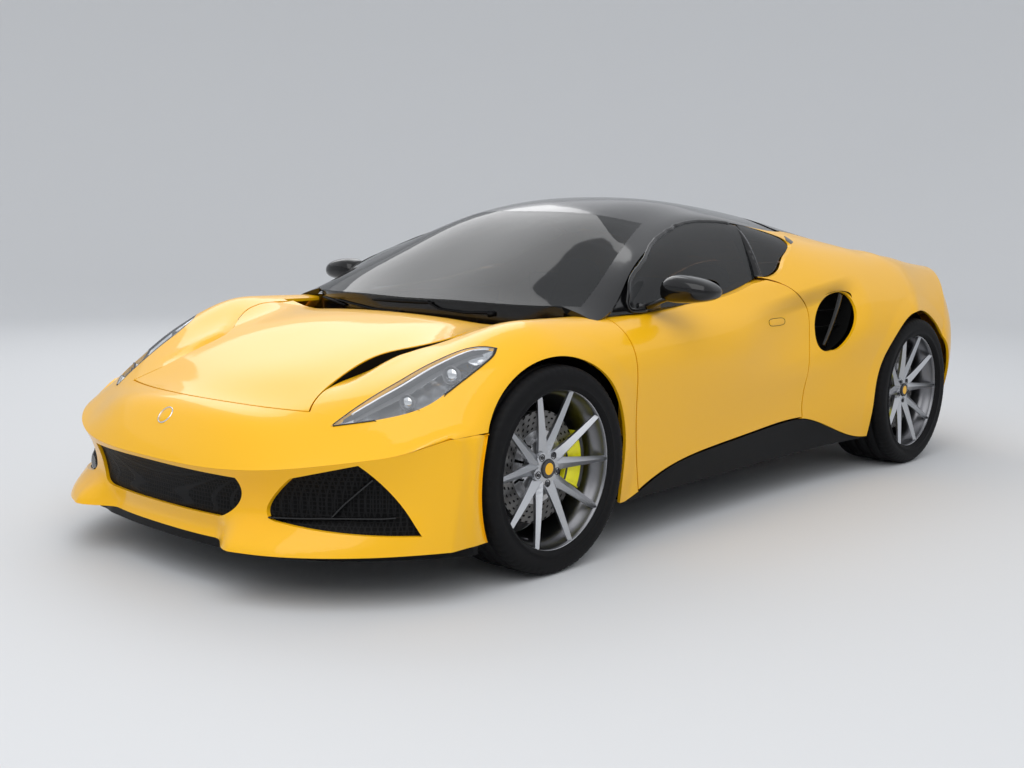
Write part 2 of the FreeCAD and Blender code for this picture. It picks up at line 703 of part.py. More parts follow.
def cabin_sheet(q0, q1, v0, v1, wall, outset=0.0):
    rows = max(4, round((q1 - q0) / GRID_STEP_SHARE * 2))
    columns = max(4, round((v1 - v0) / GRID_STEP_SHARE))
    return sheet(CABIN.point, spread(q0, q1, rows), spread(v0, v1, columns), wall, outset)


def end_normal(x, depth, forward):
    """The level direction straight out of a rounded end at half width x."""
    slope = (sweep(abs(x) + PROBE, depth) - sweep(abs(x) - PROBE, depth)) / (2 * PROBE)
    return Vector(math.copysign(slope, x), forward, 0).normalize()


def lip_reach(x):
    """How far the lower lip stands out from the crease above it, at half width x."""
    share = abs(x) / HALF_WIDTH
    inner, outer = LIP_STEP_SHARES
    step = rise((share - inner) / (outer - inner))
    out = LIP_OUT_SHARE * fade((share - LIP_FULL_SHARE) / (1 - LIP_FULL_SHARE))
    return HALF_WIDTH * (out * step - LIP_IN_SHARE * (1 - step))


def fascia_point(t, s):
    """The bumper's face below its crease: s runs round the nose from side to side, t down from the crease."""
    drop = Vector(0, 0, -SEAM)
    if abs(s) > 1:
        place = BODY.point(0, SIDE_PLACE_SHARE * (1 - t))
        height = place.z - FRONT_TYRE_RADIUS
        arch_y = FRONT_AXLE_Y - math.sqrt(ARCH_FRONT_RADIUS**2 - height**2)
        share = abs(s) - 1
        edge_x = BODY.point(CORNER_REACH_SHARE * share, SIDE_PLACE_SHARE * (1 - t)).x
        return Vector(math.copysign(edge_x, -s), place.y + (arch_y - place.y) * share, place.z) + drop
    v = 1 + (1 - SIDE_PLACE_SHARE) * s
    half_v = min(v, 2 - v)
    crease = BODY.point(0, v)
    corner = BODY.point(0, SIDE_PLACE_SHARE * (1 - t))
    if v > 1:
        corner.x = -corner.x
    low_z = LIP_HEIGHT_SHARE * HEIGHT
    offset = FASCIA_DEPTH_SHARES(t) * HALF_WIDTH * rise((half_v - SIDE_PLACE_SHARE) / FACE_FADE_SHARE)
    offset += lip_reach(crease.x) * rise((t - LIP_START_SHARE) / LIP_BLEND_SHARE)
    plain = Vector(crease.x, crease.y, crease.z + (low_z - crease.z) * t)
    plain += end_normal(crease.x, NOSE_SWEEP, -1) * offset
    blend = fade((half_v - SIDE_PLACE_SHARE) / CORNER_FADE_SHARE)
    return plain * (1 - blend) + corner * blend + drop


def fascia_columns():
    """Places across the bumper's face, about evenly far apart round the nose and along the sides."""
    half = spread(0, FACE_END_SHARE, 27)[1:] + spread(1, 2, 4)
    return [-s for s in reversed(half)] + [0] + half


def tail_point(t, s):
    """The rear face under the tail's lip: s runs round the tail, t down from the lip."""
    v = 1 + (1 - SIDE_PLACE_SHARE) * s
    half_v = min(v, 2 - v)
    lip = BODY.point(3, v)
    low_z = TAIL_LOW_SHARE * HEIGHT
    middle = rise((half_v - SIDE_PLACE_SHARE) / TAIL_FADE_SHARE)
    offset = TAIL_BULGE_SHARES(t) * LIP_SETBACK * (TAIL_SIDE_SHARE + (1 - TAIL_SIDE_SHARE) * middle)
    place = Vector(lip.x, lip.y, lip.z + (low_z - lip.z) * t)
    return place + end_normal(lip.x, TAIL_SWEEP, 1) * offset + Vector(0, 0, -PANEL_WALL - SEAM)


def fender_point(q, v):
    """The front fender's skin, lowered into a channel along the hood's edge."""
    place = BODY.point(q, v)
    start, deepest, end = VENT_STATION_SHARES
    depth = VENT_DEPTH * rise((q - start) / (deepest - start)) * fade((q - deepest) / (end - deepest))
    edge = HOOD_EDGE_SHARES(q)
    place.z -= depth * fade((place.x / HALF_WIDTH - edge) / CHANNEL_SHARE)
    return place


LIP_HEIGHT_SHARE = BODY_SHARES["bottom"][0][2]
FASCIA_DEPTH_SHARES = Spline([0, 0.15, 0.5, 0.8, 1], [0, -0.02, -0.04, -0.02, 0])
TAIL_BULGE_SHARES = Spline([0, 0.2, 0.45, 0.7, 1], [0, 0.7, 1.0, 0.85, 0.2])
HOOD_EDGE_SHARES = Spline([0.284, 0.35, 0.49, 0.65, 0.77, 0.88, 1.0586], [0.515, 0.475, 0.447, 0.45, 0.54, 0.625, 0.665])

FRONT_ARCH = arch(FRONT_AXLE_Y, FRONT_TYRE_RADIUS, ARCH_FRONT_RADIUS)
REAR_ARCH = arch(REAR_AXLE_Y, REAR_TYRE_RADIUS, ARCH_REAR_RADIUS)


def main_solid(shape):
    """The largest solid of a cut shape, without the scraps beside it."""
    return max(shape.Solids, key=lambda solid: solid.Volume)


def opened(shape, tool):
    """A shape with a tool's volume cut away, with a small tolerance for faces that nearly meet."""
    return shape.cut(tool, FUZZ)


def kept(shape, tool):
    """The part of a shape inside a tool, tried again with a small tolerance where the plain cut fails."""
    result = shape.common(tool)
    if not result.Solids:
        result = shape.common(tool, FUZZ)
    return result


def rail_box(x0, x1, y0, y1, z0, z1):
    return box(Vector(x0, y0, z0), Vector(x1, y1, z1))


def x_rod(radius, x0, x1, y, z):
    """A round bar along X."""
    return Part.makeCylinder(radius, x1 - x0, Vector(x0, y, z), Vector(1, 0, 0))


def nose_panel():
    cap = body_sheet(0.0, 0.85, SIDE_PLACE_SHARE, 2 - SIDE_PLACE_SHARE, PANEL_WALL, True)
    cap = cap.common(top_prism(NOSE_SHARES, 0, -OVERRUN))
    for side in (1, -1):
        cap = cap.cut(top_prism(LAMP_SHARES, SEAM, 0, side))
    return opened(cap.cut(FRONT_ARCH), top_prism(HOOD_SHARES, SWING_GAP))


def front_bumper(nose):
    face = sheet(fascia_point, spread(0, 1, 14), fascia_columns(), -PANEL_WALL, 0.0, False, False, True)
    face = opened(face, front_prism(MOUTH_SHARES, NOSE_Y - OVERRUN, FRONT_AXLE_Y))
    for side in (1, -1):
        face = opened(face, front_prism(CORNER_SHARES, NOSE_Y - OVERRUN, FRONT_AXLE_Y, 0, side))
    return main_solid(opened(face, nose))


def front_grilles():
    """The mesh behind the bumper's three openings."""
    back = PANEL_WALL + SEAM
    face = sheet(fascia_point, spread(0.04, 0.96, 14), fascia_columns(), -MESH_WALL, back, False, False, True)
    pieces = [face.common(front_prism(MOUTH_SHARES, NOSE_Y - OVERRUN, FRONT_AXLE_Y, MESH_OVERLAP))]
    for side in (1, -1):
        pieces.append(face.common(front_prism(CORNER_SHARES, NOSE_Y - OVERRUN, FRONT_AXLE_Y, MESH_OVERLAP, side)))
    return Part.makeCompound(pieces)


def front_splitter():
    """The flat blade under the bumper, which shows only between the two halves of its lip."""
    z = LIP_HEIGHT_SHARE * HEIGHT - 2 * SEAM
    front = []
    for s in fascia_columns():
        if abs(s) <= 1:
            place = fascia_point(1, s)
            inner, outer = LIP_STEP_SHARES
            back = SPLITTER_SETBACK * rise((abs(place.x) / HALF_WIDTH - inner) / (outer - inner))
            front.append(Vector(place.x, place.y + back, z))
    back_y = FRONT_AXLE_Y - ARCH_FRONT_RADIUS
    right, left = Vector(front[-1].x, back_y, z), Vector(front[0].x, back_y, z)
    wire = wire_of([front, [front[-1], right], [right, left], [left, front[0]]])
    return Part.Face(wire).extrude(Vector(0, 0, -SPLITTER_WALL))


def hood_axis():
    edge = BODY.point(HOOD_REAR_SHARE, 1.0)
    return Vector(0, edge.y - HOOD_AXIS_INSET, edge.z - HOOD_AXIS_DROP)


def hood():
    """The front lid with two pairs of hinge eyes under its rear edge."""
    axis = hood_axis()
    parts = [body_sheet(0.15, 1.1, 0.5, 1.5).common(top_prism(HOOD_SHARES))]
    for side in (1, -1):
        for step in (1, -1):
            start = side * HOOD_HINGE_X + step * (LUG_WIDTH + SWING_GAP) - LUG_WIDTH / 2
            parts.append(x_rod(LUG_RADIUS, start, start + LUG_WIDTH, axis.y, axis.z))
            parts.append(rail_box(start, start + LUG_WIDTH, axis.y - LUG_RADIUS, axis.y + LUG_RADIUS,
                                  axis.z, axis.z + HOOD_AXIS_DROP - PANEL_WALL))
    return fused(parts).cut(x_rod(HINGE_PIN_RADIUS + RUNNING_GAP, -HALF_WIDTH, HALF_WIDTH, axis.y, axis.z))


def front_fender():
    panel = sheet(fender_point, spread(0.1, 1.2, 30), spread(0.0, 0.9, 36), PANEL_WALL)
    for shape in (top_prism(HOOD_SHARES, SWING_GAP), top_prism(NOSE_SHARES, 0, -OVERRUN), top_prism(LAMP_SHARES),
                  top_prism(WINDSCREEN_SHARES), FRONT_ARCH, side_prism(DOOR_SHARES, SWING_GAP, HALF_WIDTH / 2),
                  side_prism(SILL_LINE_SHARES, 0, HALF_WIDTH / 2), top_prism(COWL_SHARES, SEAM), ROOF_SHELL):
        panel = opened(panel, shape)
    return main_solid(panel)


def headlamp():
    lens = body_sheet(0.05, 0.85, 0.3, 0.75, LAMP_BODY_DEPTH).common(top_prism(LAMP_SHARES))
    return opened(lens, arch(FRONT_AXLE_Y, FRONT_TYRE_RADIUS, LINER_RADIUS + LINER_WALL + SEAM))


def door():
    """A door's outer panel, with pockets round the hinge arms and a heel that swings clear of the sill."""
    slab = side_slab(BODY.point, spread(1.12, 1.68, 14), spread(0.0, 0.56, 14), DOOR_DEPTH)
    slab = kept(slab, side_prism(DOOR_SHARES, 0, HALF_WIDTH / 3))
    axis_y = station_y(HINGE_STATION_SHARE)
    latch = math.hypot(DOOR_DEPTH, station_y(DOOR_REAR_SHARE) - axis_y)
    slab = kept(slab, Part.makeCylinder(latch, HEIGHT, Vector(HINGE_X, axis_y, 0)))
    reach = Vector(HINGE_X - PANEL_WALL / 2, station_y(DOOR_RELIEF_STATION_SHARE), HEIGHT / 2)
    swept = side_prism(SILL_LINE_SHARES, DOOR_RELIEF, HALF_WIDTH / 2)
    slab = slab.cut(swept.common(box(Vector(0, axis_y - 2 * DOOR_DEPTH, 0), reach)))
    half = HINGE_ARM_WIDTH / 2
    half_height = HINGE_ARM_HEIGHT / 2 + SWING_GAP
    for centre_share in HINGE_HEIGHT_SHARES:
        middle = Vector(HINGE_X, axis_y, centre_share * HEIGHT)
        low = middle - Vector(0, 0, HINGE_PIN_LENGTH / 2 + SWING_GAP)
        slab = slab.cut(Part.makeCylinder(HINGE_PIN_RADIUS + RUNNING_GAP, HINGE_PIN_LENGTH + 2 * SWING_GAP, low))
        pocket = Vector(DOOR_DEPTH + SWING_GAP, DOOR_DEPTH, half_height)
        slab = slab.cut(box(middle - pocket, middle + Vector(half, half + SWING_GAP, half_height)))
    return slab


def door_glass():
    pane = sheet(CABIN.point, spread(1.15, 1.65, 16), spread(0.0, 0.5, 10), GLASS_WALL)
    return pane.common(side_prism(DOOR_GLASS_SHARES, 0, HALF_WIDTH / 3))


def quarter_window():
    pane = sheet(CABIN.point, spread(1.5, 1.78, 12), spread(0.0, 0.5, 10), GLASS_WALL)
    return pane.common(side_prism(QUARTER_GLASS_SHARES, -SEAM, HALF_WIDTH / 3))


def windscreen():
    return cabin_sheet(1.04, 1.45, 0.35, 1.65, GLASS_WALL).common(top_prism(WINDSCREEN_SHARES))


def roof_shell():
    shell = cabin_sheet(1.12, 1.74, 0.42, 1.58, ROOF_WALL)
    shell = opened(shell, top_prism(WINDSCREEN_SHARES, SEAM))
    shell = opened(shell, top_prism(COVER_SHARES, LID_GAP))
    for places, gap in ((DOOR_SHARES, SWING_GAP), (DOOR_GLASS_SHARES, SEAM), (QUARTER_GLASS_SHARES, SEAM)):
        tool = side_prism(places, gap, HALF_WIDTH / 3)
        shell = opened(opened(shell, tool), mirrored(tool))
    return main_solid(shell)


ROOF_SHELL = roof_shell()


def lid_axis():
    edge = BODY.point(LID_FRONT_SHARE, 1.0)
    return Vector(0, edge.y + LUG_RADIUS, edge.z - LID_AXIS_DROP)


def roof_hinge():
    """The bracket under the roof's rear edge that carries the rear lid's pin."""
    axis = lid_axis()
    parts = [x_rod(HINGE_PIN_RADIUS, -3.5 * LUG_WIDTH, 3.5 * LUG_WIDTH, axis.y, axis.z)]
    front_y = axis.y - 6 * LUG_RADIUS
    low_z = axis.z - 2 * LUG_RADIUS
    for side in (1, -1):
        start = side * 3 * LUG_WIDTH - LUG_WIDTH / 2
        end = start + LUG_WIDTH
        parts.append(rail_box(start, end, front_y, axis.y, low_z, axis.z - HINGE_PIN_RADIUS))
        parts.append(rail_box(start, end, front_y, front_y + LUG_RADIUS, low_z, axis.z + 2 * LUG_RADIUS))
        parts.append(x_rod(LUG_RADIUS - GLASS_WALL / 2, start, end, axis.y, axis.z))
    return parts


def roof():
    return fused([ROOF_SHELL] + roof_hinge())


def rear_lid():
    """The cover behind the roof, with a hinge eye under its front edge."""
    lid = body_sheet(1.65, 2.1, 0.55, 1.45).common(top_prism(COVER_SHARES))
    lid = lid.cut(top_prism(REAR_GLASS_SHARES))
    corner = from_above(COVER_SHARES, 0)[0][0]
    for side in (1, -1):
        middle = Vector(side * corner.x, corner.y, HEIGHT)
        lid = lid.cut(Part.makeCylinder(LID_CORNER_RADIUS, HEIGHT, middle, Vector(0, 0, -1)))
    axis = lid_axis()
    eye = x_rod(LUG_RADIUS, -2 * LUG_WIDTH, 2 * LUG_WIDTH, axis.y, axis.z)
    web = rail_box(-2 * LUG_WIDTH, 2 * LUG_WIDTH, axis.y - LUG_RADIUS / 2, axis.y + LUG_RADIUS,
                   axis.z, axis.z + LID_AXIS_DROP - PANEL_WALL / 2)
    bore = x_rod(HINGE_PIN_RADIUS + RUNNING_GAP, -3 * LUG_WIDTH, 3 * LUG_WIDTH, axis.y, axis.z)
    return fused([main_solid(lid), eye, web]).cut(bore)


def rear_window():
    return body_sheet(1.65, 2.1, 0.55, 1.45, GLASS_WALL).common(top_prism(REAR_GLASS_SHARES))


def rear_body():
    """The rear fenders, the pillars' feet and the deck in one skin, with the side intakes cut through."""
    shell = body_sheet(1.5, 3.0, 0.0, 2.0)
    for shape in (REAR_ARCH, top_prism(COVER_SHARES, SWING_GAP), top_prism(ROOF_SIDE_SHARES), ROOF_SHELL):
        shell = opened(shell, shape)
    for places, gap in ((DOOR_SHARES, SWING_GAP), (DOOR_GLASS_SHARES, SWING_GAP), (QUARTER_GLASS_SHARES, SEAM),
                        (SILL_LINE_SHARES, SEAM), (INTAKE_SHARES, 0)):
        tool = side_prism(places, gap, HALF_WIDTH / 2)
        shell = opened(opened(shell, tool), mirrored(tool))
    return main_solid(shell)


def tail_sheet(wall):
    return sheet(tail_point, spread(0, 1, 12), spread(-1, 1, 40), wall)


def pipe_bore(side, radius):
    """The round way of one exhaust pipe out through the tail."""
    start = Vector(side * PIPE_X, REAR_AXLE_Y + ARCH_REAR_RADIUS, PIPE_Z_SHARE * HEIGHT)
    return Part.makeCylinder(radius, TAIL_Y - start.y + OVERRUN, start, Vector(0, 1, 0))


def rear_bumper():
    face = opened(tail_sheet(PANEL_WALL), REAR_ARCH)
    for side in (1, -1):
        face = opened(face, front_prism(TAIL_LAMP_SHARES, REAR_AXLE_Y, TAIL_Y + OVERRUN, 0, side))
        face = opened(face, pipe_bore(side, PIPE_RADIUS + SEAM))
    return main_solid(face)


def tail_lamps():
    face = tail_sheet(LAMP_DEPTH)
    pieces = []
    for side in (1, -1):
        pieces.append(face.common(front_prism(TAIL_LAMP_SHARES, REAR_AXLE_Y, TAIL_Y + OVERRUN, 0, side)))
    return Part.makeCompound(pieces)


def slab_of(points, direction):
    """A flat outline of straight edges, pulled along a direction."""
    return Part.Face(Part.makePolygon(points + points[:1])).extrude(direction)


def tail_plan():
    """An upright prism over the ground that the tail's lower edge encloses, a panel's thickness inside it."""
    edge = []
    for s in spread(-1, 1, 40):
        place = tail_point(1, s)
        edge.append(Vector(place.x, place.y - PANEL_WALL, 0))
    last, first = Vector(edge[-1].x, REAR_AXLE_Y, 0), Vector(edge[0].x, REAR_AXLE_Y, 0)
    wire = wire_of([edge, [edge[-1], last], [last, first], [first, edge[0]]])
    return Part.Face(wire).extrude(Vector(0, 0, HEIGHT))


def diffuser():
    half = DIFFUSER_HALF_SHARE * HALF_WIDTH
    low = TAIL_LOW_SHARE * HEIGHT - 2 * SEAM - PANEL_WALL
    end_y = TAIL_Y - LIP_SETBACK
    start_y = REAR_AXLE_Y + ARCH_REAR_RADIUS
    points = [Vector(-half, start_y, FLOOR_Z), Vector(-half, end_y, low - PANEL_WALL), Vector(-half, end_y, low),
              Vector(-half, start_y, FLOOR_Z + PANEL_WALL)]
    parts = [slab_of(points, Vector(2 * half, 0, 0))]
    for x in spread(-half + FIN_WALL, half - 2 * FIN_WALL, FIN_COUNT - 1):
        fin = [Vector(x, start_y, FLOOR_Z), Vector(x, end_y, low - FIN_HEIGHT), Vector(x, end_y, low - PANEL_WALL)]
        parts.append(slab_of(fin, Vector(FIN_WALL, 0, 0)))
    whole = fused(parts).common(tail_plan())
    for side in (1, -1):
        whole = opened(whole, pipe_bore(side, PIPE_RADIUS + SEAM))
    return main_solid(whole)


def exhaust_tips():
    pieces = []
    for side in (1, -1):
        start = Vector(side * PIPE_X, TAIL_Y - LIP_SETBACK - PIPE_LENGTH, PIPE_Z_SHARE * HEIGHT)
        pipe = Part.makeCylinder(PIPE_RADIUS, PIPE_LENGTH, start, Vector(0, 1, 0))
        hollow = Part.makeCylinder(PIPE_RADIUS - PIPE_WALL, PIPE_LENGTH, start + Vector(0, PIPE_WALL, 0), Vector(0, 1, 0))
        pieces.append(pipe.cut(hollow))
    return Part.makeCompound(pieces)


def shelf_top():
    """The level of the shelf in front of the windscreen, which carries the hood's hinges."""
    return hood_axis().z - 2 * LUG_RADIUS - SWING_GAP


def hinge_post(axis_y):
    """What one side of the tub holds out to its door: two arms with a pin each."""
    shapes = []
    for centre_share in HINGE_HEIGHT_SHARES:
        centre = Vector(HINGE_X, axis_y, centre_share * HEIGHT)
        low_arm = centre - Vector(0, 0, HINGE_ARM_HEIGHT / 2)
        low_pin = centre - Vector(0, 0, HINGE_PIN_LENGTH / 2)
        half = Vector(0, HINGE_ARM_WIDTH / 2, HINGE_ARM_HEIGHT / 2)
        root = Vector(TUB_HALF_WIDTH - POST_WIDTH / 2, centre.y, centre.z)
        shapes.append(box(root - half, centre + half))
        shapes.append(Part.makeCylinder(HINGE_ARM_WIDTH / 2, HINGE_ARM_HEIGHT, low_arm))
        shapes.append(Part.makeCylinder(HINGE_PIN_RADIUS, HINGE_PIN_LENGTH, low_pin))
    return shapes


def chassis():
    """The tub with its sills, tunnel and bulkheads, the hinge posts, and the rails of both ends."""
    front, rear = station_y(TUB_FRONT_SHARE), station_y(TUB_REAR_SHARE)
    tub, tunnel = TUB_HALF_WIDTH, TUNNEL_HALF_WIDTH
    parts = [rail_box(-tub, tub, front, rear, FLOOR_Z, FLOOR_Z + FLOOR_WALL)]
    parts.append(rail_box(-tunnel, tunnel, front, rear, FLOOR_Z, TUNNEL_TOP))
    parts.append(rail_box(-tub, tub, front, front + BULKHEAD_WALL, FLOOR_Z, FRONT_BULKHEAD_TOP))
    parts.append(rail_box(-tub, tub, rear - BULKHEAD_WALL, rear, FLOOR_Z, REAR_BULKHEAD_TOP))
    axis_y = station_y(HINGE_STATION_SHARE)
    inner, outer = LINER_INNER_X - RAIL_WALL, LINER_INNER_X
    low, high = RAIL_Z - RAIL_HEIGHT / 2, RAIL_Z + RAIL_HEIGHT / 2
    nose_end, tail_end = NOSE_Y + NOSE_CLEARANCE, TAIL_Y - TAIL_CLEARANCE
    group = hinge_post(axis_y)
    group.append(rail_box(tub - SILL_WIDTH, tub, front, rear, FLOOR_Z, SILL_TOP))
    group.append(rail_box(tub - POST_WIDTH, tub, front, axis_y + POST_WIDTH / 2, FLOOR_Z, FRONT_BULKHEAD_TOP))
    group.append(rail_box(inner, outer, nose_end, front, low, high))
    group.append(rail_box(inner, outer, rear, tail_end, low, high))
    for shape in group:
        parts += [shape, mirrored(shape)]
    parts.append(rail_box(-outer, outer, nose_end, nose_end + RAIL_WALL, low, high))
    parts.append(rail_box(-outer, outer, tail_end - RAIL_WALL, tail_end, low, high))
    axis = hood_axis()
    parts.append(rail_box(-outer, outer, axis.y - RAIL_WALL / 2, front, shelf_top() - RAIL_WALL, shelf_top()))
    for side in (1, -1):
        x = side * HOOD_HINGE_X
        parts.append(rail_box(x - LUG_WIDTH / 2, x + LUG_WIDTH / 2, axis.y - LUG_RADIUS, axis.y + LUG_RADIUS,
                              shelf_top() - LUG_WIDTH, axis.z))
        parts.append(x_rod(HINGE_PIN_RADIUS, x - 2 * LUG_WIDTH, x + 2 * LUG_WIDTH, axis.y, axis.z))
    return fused(parts)


def wheel_centre(front):
    if front:
        return Vector(FRONT_TRACK / 2, FRONT_AXLE_Y, FRONT_TYRE_RADIUS)
    return Vector(REAR_TRACK / 2, REAR_AXLE_Y, REAR_TYRE_RADIUS)


def tyre_width(front):
    return FRONT_TYRE_WIDTH if front else REAR_TYRE_WIDTH


def hub_face(front):
    """How far out the back of the rim's hub lies from the wheel's middle."""
    return RIM_SEAT_SHARE * tyre_width(front) - SEAM - HUB_SINK - SPOKE_DEPTH


def revolved(profile, centre):
    """A ring turned about the wheel's axle from (x, radius) places, measured from the wheel's centre."""
    points = [centre + Vector(x, 0, r) for x, r in profile]
    return Part.Face(Part.makePolygon(points + points[:1])).revolve(centre, Vector(1, 0, 0), 360)


TYRE_SHARES = [(-0.5, 0.25), (-0.5, 0.62), (-0.46, 0.86), (-0.38, 0.975), (-0.3, 1.0), (0.3, 1.0), (0.38, 0.975),
               (0.46, 0.86), (0.5, 0.62), (0.5, 0.25), (0.42, 0.0), (-0.42, 0.0)]


def tyre(front):
    centre = wheel_centre(front)
    width = tyre_width(front)
    bead = RIM_RADIUS - RIM_LIP
    wall = centre.z - bead
    return revolved([(a * width, bead + b * wall) for a, b in TYRE_SHARES], centre)


def spoke_plan(centre, pair, lean, width, reach):
    """One spoke's outline seen along the axle, a tapered bar leaning away from its pair's middle."""
    step = 2 * math.pi / PAIR_COUNT
    root = pair * step + lean * step * SPOKE_ROOT_SHARE / 4
    tip = pair * step + lean * step * SPOKE_TIP_SHARE / 4
    points = []
    for angle, radius, width_here in ((root, HUB_RADIUS / 2, -SPOKE_ROOT_WIDTH), (tip, reach, -SPOKE_TIP_WIDTH),
                                      (tip, reach, SPOKE_TIP_WIDTH), (root, HUB_RADIUS / 2, SPOKE_ROOT_WIDTH)):
        out = Vector(0, math.sin(angle), math.cos(angle))
        across = Vector(0, math.cos(angle), -math.sin(angle))
        points.append(centre + out * radius + across * (width_here / 2))
    return slab_of(points, Vector(width, 0, 0))


def rim(front):
    """The rim: a barrel, ten spokes in five pairs, and the hub they spring from."""
    centre = wheel_centre(front)
    width = tyre_width(front)
    seat = RIM_RADIUS - RIM_LIP - SEAM
    half = RIM_SEAT_SHARE * width - SEAM
    well = seat - RIM_WALL
    barrel = revolved([(-half, seat), (-half, well), (half - RIM_WALL, well), (half, well - RIM_LIP / 2), (half, seat)],
                      centre)
    back = hub_face(front)
    hub_x, hub_edge = back + SPOKE_DEPTH, HUB_RADIUS * 0.7
    knee_x, knee = hub_x + HUB_SINK * 0.6, seat * 0.6
    bore = STUB_RADIUS + RUNNING_GAP
    dish = revolved([(back, bore), (hub_x, bore), (hub_x, hub_edge), (knee_x, knee), (half - SEAM, well + SEAM),
                     (half - SPOKE_DEPTH, well + SEAM), (knee_x - SPOKE_DEPTH, knee), (back, hub_edge)], centre)
    star = Part.makeCylinder(HUB_RADIUS * 0.8, width, centre, Vector(1, 0, 0))
    for pair in range(PAIR_COUNT):
        for lean in (-1, 1):
            star = star.fuse(spoke_plan(centre, pair, lean, width, well + RIM_WALL / 2))
    return barrel.fuse(dish.common(star)).removeSplitter()


def disc(front):
    """The brake disc with its hat, which seats on the back of the rim's hub."""
    out = hub_face(front) - SEAM
    hat_wall = DISC_WALL / 3
    bore = STUB_RADIUS + RUNNING_GAP
    face, back = out - DISC_WALL / 2, out - DISC_WALL * 1.5
    return revolved([(out, bore), (out, HAT_RADIUS), (face, HAT_RADIUS), (face, DISC_RADIUS), (back, DISC_RADIUS),
                     (back, HAT_RADIUS - hat_wall), (out - hat_wall, HAT_RADIUS - hat_wall), (out - hat_wall, bore)],
                    wheel_centre(front))


def upright(front):
    """The wheel carrier: bearing housing, stub axle, caliper, and the kingpin with its post."""
    centre = wheel_centre(front)
    out = hub_face(front) - SEAM
    face, back = out - DISC_WALL / 2 + SWING_GAP, out - DISC_WALL * 1.5 - SWING_GAP
    inner_x = KINGPIN_X - ARM_WALL / 2
    stub_end = centre.x + out + SPOKE_DEPTH + HUB_SINK / 4
    half_post = KINGPIN_REACH - ARM_WALL / 2 - SEAM
    half_pin = KINGPIN_REACH + ARM_WALL * 0.4
    parts = [x_rod(STUB_RADIUS, inner_x, stub_end, centre.y, centre.z)]
    parts.append(x_rod(HUB_RADIUS * 0.75, inner_x, centre.x + back + DISC_WALL / 2, centre.y, centre.z))
    parts.append(rail_box(inner_x, inner_x + ARM_WALL, centre.y - ARM_WALL, centre.y + ARM_WALL,
                          centre.z - half_post, centre.z + half_post))
    parts.append(Part.makeCylinder(KINGPIN_RADIUS, 2 * half_pin, Vector(KINGPIN_X, centre.y, centre.z - half_pin)))
    lip = DISC_RADIUS + SWING_GAP
    ring = revolved([(back - CALIPER_WALL, CALIPER_INNER), (back - CALIPER_WALL, CALIPER_OUTER),
                     (face + CALIPER_WALL, CALIPER_OUTER), (face + CALIPER_WALL, CALIPER_INNER),
                     (face, CALIPER_INNER), (face, lip), (back, lip), (back, CALIPER_INNER)], centre)
    ahead = 1 if front else -1
    start = centre - Vector(HALF_WIDTH, 0, 0)
    reach = Vector(0, ahead * 2 * CALIPER_OUTER, 0)
    half = Vector(0, 0, CALIPER_OUTER)
    parts.append(ring.common(slab_of([start, start + reach + half, start + reach - half], Vector(2 * HALF_WIDTH, 0, 0))))
    foot_y = centre.y + ahead * (CALIPER_INNER + SWING_GAP)
    parts.append(rail_box(centre.x + back - CALIPER_WALL, centre.x + back, min(centre.y, foot_y),
                          max(centre.y, foot_y), centre.z - ARM_WALL, centre.z + ARM_WALL))
    return fused(parts)


def wishbone(axle_y, z, block_low, block_high):
    """One two-legged arm from its foot blocks on the rail to the eye round the kingpin."""
    tip = Vector(KINGPIN_X, axle_y, z)
    half = Vector(0, ARM_WALL / 2, 0)
    parts = [Part.makeCylinder(ARM_WALL, ARM_WALL, tip)]
    for side in (-1, 1):
        foot = Vector(LINER_INNER_X - RAIL_WALL / 2, axle_y + side * ARM_BASE, z)
        parts.append(slab_of([foot - half, tip - half, tip + half, foot + half], Vector(0, 0, ARM_WALL)))
        parts.append(rail_box(LINER_INNER_X - RAIL_WALL + SEAM, LINER_INNER_X - SEAM, foot.y - ARM_WALL,
                              foot.y + ARM_WALL, block_low, block_high))
    bore = Part.makeCylinder(KINGPIN_RADIUS + RUNNING_GAP, 3 * ARM_WALL, tip - Vector(0, 0, ARM_WALL))
    return fused(parts).cut(bore)


def suspension_arms():
    pieces = []
    for front in (True, False):
        centre = wheel_centre(front)
        low_z = centre.z - KINGPIN_REACH - ARM_WALL / 2
        high_z = centre.z + KINGPIN_REACH - ARM_WALL / 2
        lower = wishbone(centre.y, low_z, low_z, RAIL_Z - RAIL_HEIGHT / 2 - SEAM)
        upper = wishbone(centre.y, high_z, RAIL_Z + RAIL_HEIGHT / 2 + SEAM, high_z + ARM_WALL)
        for arm in (lower, upper):
            pieces += [arm, mirrored(arm)]
    return Part.makeCompound(pieces)


def arch_liners(fender):
    """The four wheel-arch liners, open towards the wheel and where the wishbones pass."""
    pieces = []
    for front in (True, False):
        axle_y = wheel_centre(front).y
        centre = Vector(LINER_INNER_X, axle_y, FRONT_TYRE_RADIUS)
        depth = LINER_OUTER_X - LINER_INNER_X
        ring = Part.makeCylinder(LINER_RADIUS + LINER_WALL, depth, centre, Vector(1, 0, 0))
        ring = ring.cut(Part.makeCylinder(LINER_RADIUS, depth, centre + Vector(LINER_WALL, 0, 0), Vector(1, 0, 0)))
        ring = ring.cut(rail_box(0, HALF_WIDTH, axle_y - HALF_WIDTH, axle_y + HALF_WIDTH, -LINER_RADIUS, LINER_LOW_Z))
        if front:
            ring = opened(ring, fender)
        reach = ARM_BASE + 2 * ARM_WALL
        ring = ring.cut(rail_box(0, LINER_INNER_X + 2 * LINER_WALL, axle_y - reach, axle_y + reach, 0,
                                 FRONT_TYRE_RADIUS + KINGPIN_REACH + 2 * ARM_WALL))
        pieces += [ring, mirrored(ring)]
    return Part.makeCompound(pieces)


